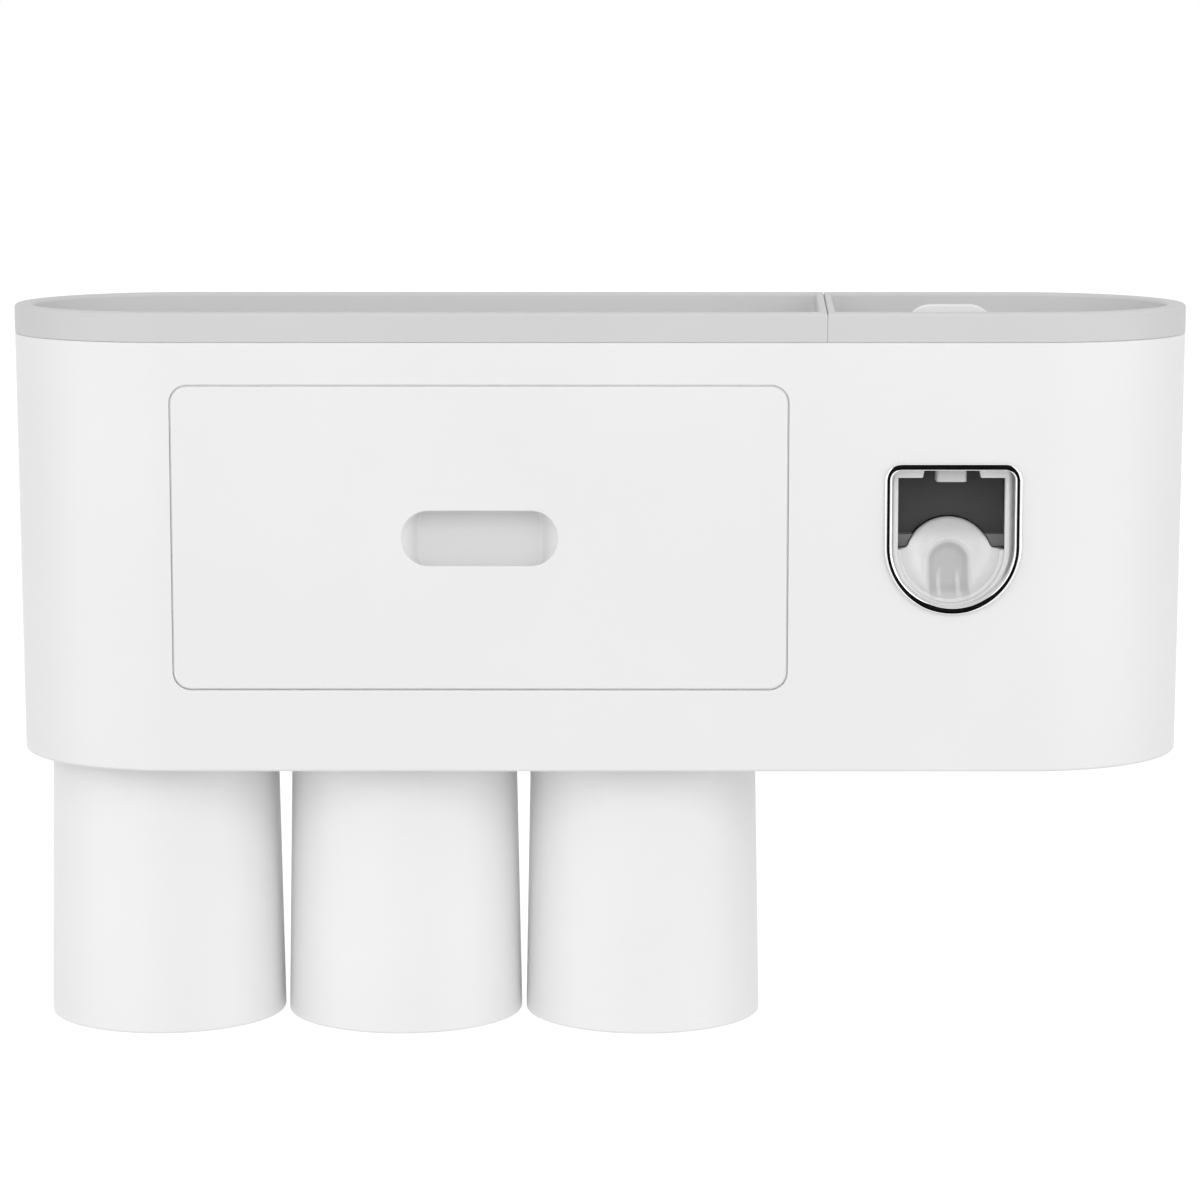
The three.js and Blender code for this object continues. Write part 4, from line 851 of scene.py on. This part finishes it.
def bezel():
    bm = bmesh.new()
    start, end = 270 - CROWN_TURN, 270 + CROWN_TURN
    crown = arc(BEZEL_LIP / 2, CROWN_RADIUS - BEZEL_PROUD, CROWN_RADIUS, start, end, CROWN_STEPS)
    side = crown[0][1] + CROWN_SIDE
    sleeve = BEZEL_LIP - SLEEVE_WALL
    profile = crown + [
        (BEZEL_LIP, side), (BEZEL_LIP, SLEEVE_END), (sleeve, SLEEVE_END),
        (sleeve, BEZEL_LIP_BACK), (0, BEZEL_LIP_BACK), (0, side),
    ]
    rows = []
    for inset, depth in profile:
        corner = max(BEZEL_CORNER - inset, BEZEL_INNER_CORNER)
        outline = u_outline(BEZEL_HALF - inset, below(WINDOW_TOP + inset), corner, BEZEL_STEPS)
        rows.append(at_depth(outline, depth))
    skin(bm, rows, along=True)
    return piece("window_bezel", bm, chrome, "housing", ["bezel"])


# Drawer
def pull_outline(grow, share):
    """Outline of the pull; share is how far it has sloped in towards its floor."""
    half = PULL_LENGTH / 2 + grow - PULL_SLOPE_ENDS * share
    low = DRAWER_Z - PULL_HEIGHT / 2 - grow - PULL_UNDERCUT * share
    high = DRAWER_Z + PULL_HEIGHT / 2 + grow - PULL_SLOPE_TOP * share
    radius = (high - low) / 2 * (PULL_END_SHARE - PULL_END_LOSS * share)
    return rounded_rect(DRAWER_X - half, low, DRAWER_X + half, high, radius, ROUND_STEPS)


def pull_row(grow, depth):
    share = min(max(depth / PULL_DEPTH, 0), 1)
    return at_depth(pull_outline(grow, share), lean(DRAWER_Z) + depth)


def pocket_rows():
    """Rows of the pull, from its rounded mouth to its floor."""
    mouth = [(RUN_IN, 0, 0), (0, 0, PULL_MOUTH_ROUND), (0, RUN_IN, 0)]
    mouth = rounded_line(mouth, steps=FINE_CORNER_STEPS)[1:-1]
    rows = [on_front(pull_outline(grow, max(depth, 0) / PULL_DEPTH), depth) for grow, depth in mouth]
    for i in range(FINE_CORNER_STEPS + 1):
        turn = math.radians(90 * i / FINE_CORNER_STEPS)
        depth = PULL_DEPTH - PULL_FLOOR_ROUND + PULL_FLOOR_ROUND * math.sin(turn)
        rows.append(pull_row(PULL_FLOOR_ROUND * (math.cos(turn) - 1), depth))
    return rows


def drawer_front():
    bm = bmesh.new()
    backing = RUNNING - PANEL_BACKING_GAP
    edge = rounded_line([
        (backing, PANEL_THICK, 0), (backing, PANEL_STEP + PANEL_STEP_SLOPE, PANEL_STEP_ROUND),
        (0, PANEL_STEP, PANEL_STEP_ROUND), (0, 0, PANEL_ROUND), (-RUN_IN, 0, 0),
    ])[:-1]
    panel = skin(bm, [on_front(drawer_outline(grow), depth) for grow, depth in edge])
    pocket = skin(bm, pocket_rows())
    bm.faces.new(pocket[-1])
    fill(bm, panel[-1], pocket[0])
    outside = skin(bm, [
        on_front(pull_outline(PULL_WALL, PANEL_THICK / PULL_DEPTH), PANEL_THICK),
        pull_row(PULL_WALL, PULL_DEPTH + PULL_WALL - PULL_WALL_SLOPE),
        pull_row(PULL_WALL - PULL_WALL_SLOPE, PULL_DEPTH + PULL_WALL),
    ])
    bm.faces.new(outside[-1])
    fill(bm, panel[0], outside[0])
    add_plug_frame(bm)
    return piece("drawer_panel", bm, drawer_white_painted_shade, "drawer", ["drawer_front"])


def add_plug_frame(bm):
    """The frame behind the panel that plugs into the drawer box."""
    x0, z0, x1, z1 = BOX_EDGE
    inner = PLUG_INSET + PLUG_WALL
    profile = ((PLUG_INSET, PLUG_NEAR), (PLUG_INSET, PLUG_FAR), (inner, PLUG_FAR), (inner, PLUG_NEAR))
    rows = []
    for inset, depth in profile:
        top = z1 - PLUG_UNDER_TOP - inset + PLUG_INSET
        outline = rounded_rect(x0 + inset, z0 + inset, x1 - inset, top, PLUG_CORNER, CORNER_STEPS)
        rows.append(at_depth(outline, depth))
    skin(bm, rows, along=True)


# Cups
def cup(number, x):
    bm = bmesh.new()
    top = below(CUP_TOP)
    mouth = top - CUP_LENGTH
    recess = top - DISC_RECESS
    end = top - CUP_END_THICK
    pad = DISC_RADIUS + CUP_WALL
    profile = rounded_line([
        (NEAR_AXIS, recess - CUP_WALL, 0), (pad, recess - CUP_WALL, PAD_ROUND), (pad, end, PAD_FOOT_ROUND),
        (CUP_END_RADIUS - CUP_WALL, end, CUP_INNER_SHOULDER),
        (CUP_MOUTH_RADIUS - CUP_WALL, mouth, CUP_INNER_LIP_ROUND), (CUP_MOUTH_RADIUS, mouth, CUP_LIP_ROUND),
        (CUP_END_RADIUS, top, CUP_SHOULDER), (DISC_RADIUS, top, RECESS_ROUND),
        (DISC_RADIUS, recess, RECESS_FLOOR_ROUND), (NEAR_AXIS, recess, 0),
    ], steps=FINE_CORNER_STEPS)
    turned(bm, upright(x, MID_Y), profile, CUP_SEGMENTS)
    name = f"cup_{number}"
    return piece(f"{name}_body", bm, cup_white_painted_light, name, [name])


# Dispenser case: walls, front lip, front, flange and lift tab
def add_block(bm, corners, near, far, edge):
    """A plate drawn in X and Z with rounded front and rear edges."""
    outline = rounded_line(corners, closed=True, steps=FINE_CORNER_STEPS)
    middle = Vector((sum(x for x, _ in outline), sum(z for _, z in outline))) / len(outline)
    turn = edge * EDGE_TURN_SHARE
    levels = ((near, edge), (near + turn, turn), (near + edge, 0), (far - edge, 0), (far, edge))
    rows = []
    for depth, shrink in levels:
        row = []
        for x, z in outline:
            out = Vector((x, z)) - middle
            out = out * (1 - shrink / max(out.length, 1))
            row.append((middle.x + out.x, behind(depth), middle.y + out.y))
        rows.append(row)
    close_ends(bm, skin(bm, rows))


def add_u_wall(bm, profile, top):
    """A profile of (half width, depth) run along the sides and the round bottom of the case."""
    rows = [at_depth(open_u(half, top), depth) for half, depth in profile]
    made = skin(bm, rows, around=False, along=True)
    bm.faces.new([row[0] for row in made])
    bm.faces.new([row[-1] for row in made])


def add_case_walls(bm, under):
    inner = CASE_HALF - CASE_WALL
    wall = [
        (CASE_HALF, CASE_WALL_NEAR), (inner, CASE_WALL_INNER_NEAR), (inner, CASE_END), (CASE_HALF, CASE_END),
    ]
    add_u_wall(bm, wall, under)
    lip = rounded_line([
        (CASE_HALF, LIP_END, 0), (CASE_HALF, LIP_SHOULDER, 0.4),
        (CASE_HALF - LIP_SLOPE_INSET, LIP_SLOPE_END, 1), (CASE_OPENING + LIP_FLAT, CASE_FRONT, 0.6),
        (CASE_OPENING, CASE_FRONT, 0.45), (CASE_OPENING, LIP_INNER_END, 0.3),
        (inner + LIP_OVERLAP, LIP_END, 0),
    ])
    add_u_wall(bm, lip, below(WINDOW_TOP))


def add_case_front(bm, under):
    """The bars on both sides of the notch, and the plain front above the window."""
    back = CASE_FRONT + CASE_WALL
    high = below(WINDOW_TOP - BAR_INTO_FRONT)
    for side in (-1, 1):
        edge = DISPENSER_X + side * (CASE_OPENING + BAR_INTO_LIP)
        end = DISPENSER_X + side * NOTCH_HALF
        bend = end - side * NOTCH_TAPER
        corners = [
            (edge, below(BAR_EDGE), 0.3), (end, below(BAR_EDGE), 0.4),
            (bend, below(WINDOW_TOP + NOTCH_BEND), 0.4), (bend, high, 0.1), (edge, high, 0.1),
        ]
        add_block(bm, corners if side < 0 else corners[::-1], CASE_FRONT + BAR_SET_BACK, back, CASE_EDGE)
    left, right = DISPENSER_X - CASE_HALF, DISPENSER_X + CASE_HALF
    low = below(WINDOW_TOP)
    upper = [(left, low, 0.1), (right, low, 0.1), (right, under, 0.1), (left, under, 0.1)]
    add_block(bm, upper, CASE_FRONT, back, CASE_EDGE)


def dispenser_case():
    bm = bmesh.new()
    under = below(FLANGE_UNDER) + CASE_INTO_FLANGE
    add_case_walls(bm, under)
    add_case_front(bm, under)
    add_flange(bm)
    add_tab(bm)
    return piece("cartridge_case", bm, white, "cartridge", ["dispenser_case"])


def add_flange(bm):
    """The flange that rests in the tray, with the well for the tube."""
    low, high = below(FLANGE_UNDER), below(FLANGE_TOP)
    edge = rounded_line([
        (RUN_IN, low, 0), (0, low, FLANGE_LOW_ROUND), (0, high, FLANGE_TOP_ROUND), (RUN_IN, high, 0),
    ])[1:-1]
    outer = []
    inner = []
    for inset, z in edge:
        half = FLANGE_HALF - inset
        near, far = behind(CASE_FRONT + SEAT) + inset, behind(FLANGE_END) - inset
        plan = rounded_rect(DISPENSER_X - half, near, DISPENSER_X + half, far, FLANGE_CORNER - inset)
        outer.append(at_height(plan, z))
        half = CASE_HALF - CASE_WALL - WELL_LEDGE + inset
        near, far = behind(CASE_FRONT + WELL_NEAR) - inset, behind(CASE_END - WELL_LEDGE) + inset
        well = rounded_rect(DISPENSER_X - half, near, DISPENSER_X + half, far, WELL_CORNER + inset)
        inner.append(at_height(well, z))
    outside = skin(bm, outer)
    inside = skin(bm, inner)
    fill(bm, outside[0], inside[0])
    fill(bm, outside[-1], inside[-1])


def add_tab(bm):
    x = DISPENSER_X
    top = below(TAB_TOP)
    shoulder = top - TAB_SHOULDER
    foot = below(FLANGE_TOP) - TAB_INTO_FLANGE
    corners = [
        (x - TAB_HALF, foot, TAB_FOOT_ROUND), (x + TAB_HALF, foot, TAB_FOOT_ROUND),
        (x + TAB_HALF, shoulder, TAB_SHOULDER_ROUND), (x + TAB_TOP_HALF, top, TAB_TOP_ROUND),
        (x - TAB_TOP_HALF, top, TAB_TOP_ROUND), (x - TAB_HALF, shoulder, TAB_SHOULDER_ROUND),
    ]
    add_block(bm, corners, TAB_NEAR, TAB_NEAR + TAB_THICK, TAB_EDGE)


# Pusher: a bowl for the brush head, open at the top, with a domed back wall and a niche in it
def bowl_line():
    """Front outline of the pusher: a fillet, the dome, a fillet and the round bottom."""
    centre = below(CASE_CENTRE)
    rim = below(BOWL_RIM)
    fillet_z = rim + RIM_FILLET
    dome_centre = below(DOME_TOP) - DOME_RADIUS
    reach = DOME_RADIUS + RIM_FILLET
    drop = math.degrees(math.asin((rim - centre) / BOWL_RADIUS))
    rise = math.asin((fillet_z - dome_centre) / reach)
    fillet_x = reach * math.cos(rise)
    rise = math.degrees(rise)
    line = arc(fillet_x, fillet_z, RIM_FILLET, 270, 180 + rise, FILLET_STEPS)
    line += arc(0, dome_centre, DOME_RADIUS, rise, 180 - rise, DOME_STEPS)[1:]
    line += arc(-fillet_x, fillet_z, RIM_FILLET, 360 - rise, 270, FILLET_STEPS)[1:]
    line += arc(0, centre, BOWL_RADIUS, 180 - drop, 360 + drop, BOWL_STEPS)
    return line + line[:1]


def evenly(line, count):
    """Evenly spaced points along a closed line, with its corners softened."""
    lengths = [0]
    for a, b in zip(line, line[1:]):
        lengths.append(lengths[-1] + math.dist(a, b))
    even = []
    k = 0
    for i in range(count):
        want = lengths[-1] * i / count
        while lengths[k + 1] < want:
            k += 1
        part = (want - lengths[k]) / (lengths[k + 1] - lengths[k])
        even.append(Vector(line[k]).lerp(Vector(line[k + 1]), part))
    for _ in range(2):
        even = [(even[i - 1] + even[i] * 2 + even[(i + 1) % count]) / 4 for i in range(count)]
    return even


def ease(value, low, high):
    t = min(max((value - low) / (high - low), 0), 1)
    return t * t * (3 - 2 * t)


def niche_depth(x, z, radius):
    """How much the niche, its bead and its ribs change the depth of the bowl's back wall."""
    up = z - below(NICHE_TOP + NICHE_HALF)
    reach = math.hypot(x, up) if up > 0 else abs(x)
    niche_share = 1 - ease(reach, NICHE_HALF - NICHE_SIDE, NICHE_HALF - NICHE_SIDE_END)
    bead = ease(BEAD_HALF - abs(reach - NICHE_HALF), 0, BEAD_HALF)
    rib = ease(RIB_HALF - abs(abs(x) - RIB_AT), 0, RIB_HALF) * ease(below(RIB_TOP) - z, 0, RIB_START)
    fade = 1 - ease(radius, NICHE_FADE, BOWL_INSIDE)
    return fade * (NICHE_DEPTH * niche_share - BEAD_HEIGHT * bead - RIB_HEIGHT * rib)


def bowl_depth(x, z, from_edge):
    """Depth of the pusher's front surface at a point, from_edge being the distance to its outline."""
    radius = math.hypot(x, z - below(CASE_CENTRE))
    share = min(radius / BOWL_INSIDE, 1)
    depth = BOWL_FRONT + (BOWL_BACK_WALL - BOWL_FRONT) * math.sqrt(1 - share ** BOWL_SQUARENESS)
    depth += niche_depth(x, z, radius)
    rounder = ease(z - below(BOWL_RIM), DOME_ROUND_FROM, DOME_ROUND_TO)
    soft = BOWL_EDGE_ROUND + (DOME_ROUND - BOWL_EDGE_ROUND) * rounder
    if from_edge < soft:
        depth += soft - math.sqrt(soft * soft - (soft - from_edge) ** 2)
    return depth


def bowl_front_rows(outline, pole):
    """Rings from the pole out to the outline, closer together towards the outline."""
    rows = []
    for k in range(1, BOWL_RINGS + 1):
        share = math.sin(math.pi / 2 * k / BOWL_RINGS)
        row = []
        for point in outline:
            spoke = point - pole
            x, z = pole + spoke * share
            depth = bowl_depth(x, z, spoke.length * (1 - share))
            row.append((DISPENSER_X + x, behind(depth), z))
        rows.append(row)
    return rows


def bowl_back_row(outline):
    low = below(CASE_CENTRE)
    row = []
    for x, z in outline:
        taper = ease(below(BOWL_RIM) + TAPER_FROM - z, 0, TAPER_OVER)
        narrow = 1 - (BOWL_TAPER / BOWL_RADIUS) * taper
        row.append((DISPENSER_X + x * narrow, behind(BOWL_END), low + (z - low) * narrow))
    return row


def push_bowl():
    bm = bmesh.new()
    outline = evenly(bowl_line(), BOWL_POINTS)
    pole = Vector((0, below(PLUNGER_AXIS)))
    made = skin(bm, bowl_front_rows(outline, pole) + [bowl_back_row(outline)])
    middle = (DISPENSER_X, behind(bowl_depth(0, pole.y, BOWL_RADIUS)), pole.y)
    centre = bm.verts.new(Vector(middle) * MM)
    for a, b in zip(made[0], made[0][1:] + made[0][:1]):
        bm.faces.new((centre, a, b))
    bm.faces.new(made[-1])
    axis = lengthwise(DISPENSER_X, below(PLUNGER_AXIS))
    start, end = BOWL_END - HUB_OVERLAP, BOWL_END + HUB_LENGTH
    add_tube(bm, axis, HUB_HOLE, HUB_RADIUS, start, end, HUB_SEGMENTS)
    return piece("pusher_bowl", bm, pusher_white_painted_shade, "pusher", ["push_bowl"])


def wire_ring(turn, depth):
    """One ring of points around the spring's wire."""
    row = []
    for k in range(WIRE_SIDES):
        t = 2 * math.pi * k / WIRE_SIDES
        reach = SPRING_RADIUS + SPRING_WIRE * math.cos(t)
        x = DISPENSER_X + reach * math.cos(turn)
        z = below(PLUNGER_AXIS) + reach * math.sin(turn)
        row.append((x, behind(depth + SPRING_WIRE * math.sin(t)), z))
    return row


def return_spring():
    bm = bmesh.new()
    steps = SPRING_CURLS * CURL_STEPS
    near, far = SPRING_NEAR + SPRING_WIRE, SPRING_FAR - SPRING_WIRE
    rows = []
    for i in range(steps + 1):
        turn = 2 * math.pi * SPRING_CURLS * i / steps
        rows.append(wire_ring(turn, near + (far - near) * i / steps))
    close_ends(bm, skin(bm, rows))
    spring = piece("spring_wire", bm, steel, "pusher", ["return_spring"])
    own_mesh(spring)
    return spring


# Socket for the tube's neck
def tube_socket():
    bm = bmesh.new()
    foot = below(WINDOW_TOP)
    seat = foot + SOCKET_SEAT
    flange = seat + SOCKET_FLANGE_THICK
    top = flange + SOCKET_RISE
    profile = rounded_line([
        (SOCKET_BORE, foot, 0.2), (SOCKET_STEM, foot, 0.4), (SOCKET_STEM, seat, 0.2),
        (SOCKET_FLANGE, seat, 0.4), (SOCKET_FLANGE, flange, 0.4), (SOCKET_NECK, flange, 0.3),
        (SOCKET_MOUTH, top, 0.8), (SOCKET_MOUTH_INSIDE, top, 0.8), (SOCKET_STEM, flange, 1),
        (SOCKET_BORE, flange, 0.4),
    ], closed=True)
    turned(bm, upright(DISPENSER_X, behind(SOCKET_AT)), profile, closed=True)
    return piece("neck_socket", bm, silicone, "cartridge", ["tube_socket"])


def socket_ring():
    bm = bmesh.new()
    seat = below(WINDOW_TOP) + SOCKET_SEAT
    low = seat + RING_OVER_SEAT
    top = low + RING_THICK
    profile = rounded_line([
        (RING_INSIDE, low, 0.2), (RING_STEP, low, 0.2), (RING_STEP, seat, 0.2),
        (RING_OUTSIDE, seat, 0.4), (RING_OUTSIDE, top, 0.8), (RING_INSIDE, top, 0.4),
    ], closed=True)
    turned(bm, upright(DISPENSER_X, behind(SOCKET_AT)), profile, closed=True)
    return piece("clamp_ring", bm, white, "cartridge", ["socket_ring"])


# CAD nodes that stay: softened edges and a material
def dress(node, material):
    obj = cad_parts[node]
    obj.data.materials.clear()
    obj.data.materials.append(material)
    weld = obj.modifiers.new("weld", "WELD")
    weld.merge_threshold = WELD_DISTANCE
    flat = obj.modifiers.new("flat_faces", "DECIMATE")
    flat.decimate_type = "DISSOLVE"
    flat.angle_limit = FLAT_ANGLE
    bevel = obj.modifiers.new("soft_edges", "BEVEL")
    bevel.width = SOFT_EDGE * MM
    bevel.segments = 2
    bevel.limit_method = "ANGLE"
    bevel.angle_limit = LEAST_SOFT_ANGLE
    bevel.harden_normals = False
    even_normals(obj)


outer_shell()
base_plate()
storage_tray()
bay_tray()
bezel()
drawer_front()
for number, x in enumerate(CUP_XS, 1):
    cup(number, x)
dispenser_case()
push_bowl()
return_spring()
tube_socket()
socket_ring()

kept = {
    "wall_bracket": white, "adhesive_sheet": foam, "drawer_runner_left": white, "drawer_runner_right": white,
    "bay_divider": white, "drawer_box": white, "case_back": white, "pump_deck": white,
    "pump_body": dark_grey, "valve_block": white, "outlet_pipe": silicone, "outlet_nozzle": light_grey,
    "nozzle_valve": silicone, "plunger": light_grey, "plunger_seal": silicone,
}
for i in (1, 2, 3):
    kept[f"housing_magnet_{i}"] = magnet
    kept[f"magnet_cap_{i}"] = white
    kept[f"cup_disc_{i}"] = steel
    kept[f"cup_cover_{i}"] = white
for i in (1, 2, 3, 4):
    kept[f"base_screw_{i}"] = steel
    kept[f"case_screw_{i}"] = steel
for node, material in kept.items():
    dress(node, material)


# Studio
def area_light(name, place, size, energy):
    lamp = bpy.data.lights.new(name, "AREA")
    lamp.shape = "RECTANGLE"
    lamp.size, lamp.size_y = size
    lamp.energy = energy
    obj = bpy.data.objects.new(name, lamp)
    obj.location = place
    obj.rotation_euler = (Vector(LAMP_TARGET) - Vector(place)).to_track_quat("-Z", "Y").to_euler()
    bpy.context.scene.collection.objects.link(obj)


def seen_directly(tree):
    """1 for rays from the camera, a mirror or clear material, otherwise 0."""
    path = tree.nodes.new("ShaderNodeLightPath")
    total = path.outputs["Is Camera Ray"]
    for name in ("Is Glossy Ray", "Is Transmission Ray"):
        total = worked(tree, "MAXIMUM", total, path.outputs[name])
    return total


def make_world():
    world = bpy.data.worlds.new("studio")
    bpy.context.scene.world = world
    world.use_nodes = True
    tree = world.node_tree
    light = tree.nodes["Background"]
    light.inputs["Color"].default_value = (1, 1, 1, 1)
    light.inputs["Strength"].default_value = WORLD_STRENGTH
    shown = tree.nodes.new("ShaderNodeBackground")
    shown.inputs["Color"].default_value = (1, 1, 1, 1)
    mix = tree.nodes.new("ShaderNodeMixShader")
    tree.links.new(seen_directly(tree), mix.inputs["Fac"])
    tree.links.new(light.outputs[0], mix.inputs[1])
    tree.links.new(shown.outputs[0], mix.inputs[2])
    tree.links.new(mix.outputs[0], tree.nodes["World Output"].inputs["Surface"])


def plain_material(name, colour):
    material = bpy.data.materials.new(name)
    material.use_nodes = True
    shader = material.node_tree.nodes["Principled BSDF"]
    shader.inputs["Base Color"].default_value = (*colour, 1)
    return material, shader


def make_floor():
    bpy.ops.mesh.primitive_plane_add(size=FLOOR_SIZE, location=(0, 0, FLOOR_Z))
    floor = bpy.context.object
    floor.name = "floor"
    material, shader = plain_material("pale_floor", tone(0.82))
    shader.inputs["Roughness"].default_value = 0.8
    shader.inputs["Emission Color"].default_value = (1, 1, 1, 1)
    tree = material.node_tree
    glow = worked(tree, "MULTIPLY", seen_directly(tree), FLOOR_GLOW)
    tree.links.new(glow, shader.inputs["Emission Strength"])
    floor.data.materials.append(material)


def make_dark_card():
    """A black card in front of the object, seen only in its reflections."""
    upright_turn = (math.pi / 2, 0, 0)
    bpy.ops.mesh.primitive_plane_add(size=1, location=(0.1, -0.9, -0.4), rotation=upright_turn)
    card = bpy.context.object
    card.name = "dark_card"
    card.scale = (0.9, 2.3, 1)
    material, shader = plain_material("card_black", tone(0.01))
    shader.inputs["Specular IOR Level"].default_value = 0
    card.data.materials.append(material)
    card.visible_camera = False
    card.visible_diffuse = False
    card.visible_shadow = False


def make_camera():
    data = bpy.data.cameras.new("camera")
    data.lens = 122.54
    data.sensor_width = 36
    camera = bpy.data.objects.new("camera", data)
    camera.location = (0.00263, -1.3141, 0.1210)
    camera.rotation_euler = (math.radians(82.145), 0, 0.0021)
    bpy.context.scene.collection.objects.link(camera)
    bpy.context.scene.camera = camera


make_world()
make_floor()
make_dark_card()
area_light("front_softbox", place=(0.15, -1.5, 0.45), size=(2.4, 1.2), energy=10)
area_light("left_softbox", place=(-1.6, -0.7, 0), size=(0.8, 1), energy=3)
area_light("right_softbox", place=(1.6, -0.7, 0), size=(0.8, 1), energy=2)
make_camera()
bpy.context.scene.view_settings.view_transform = "Standard"
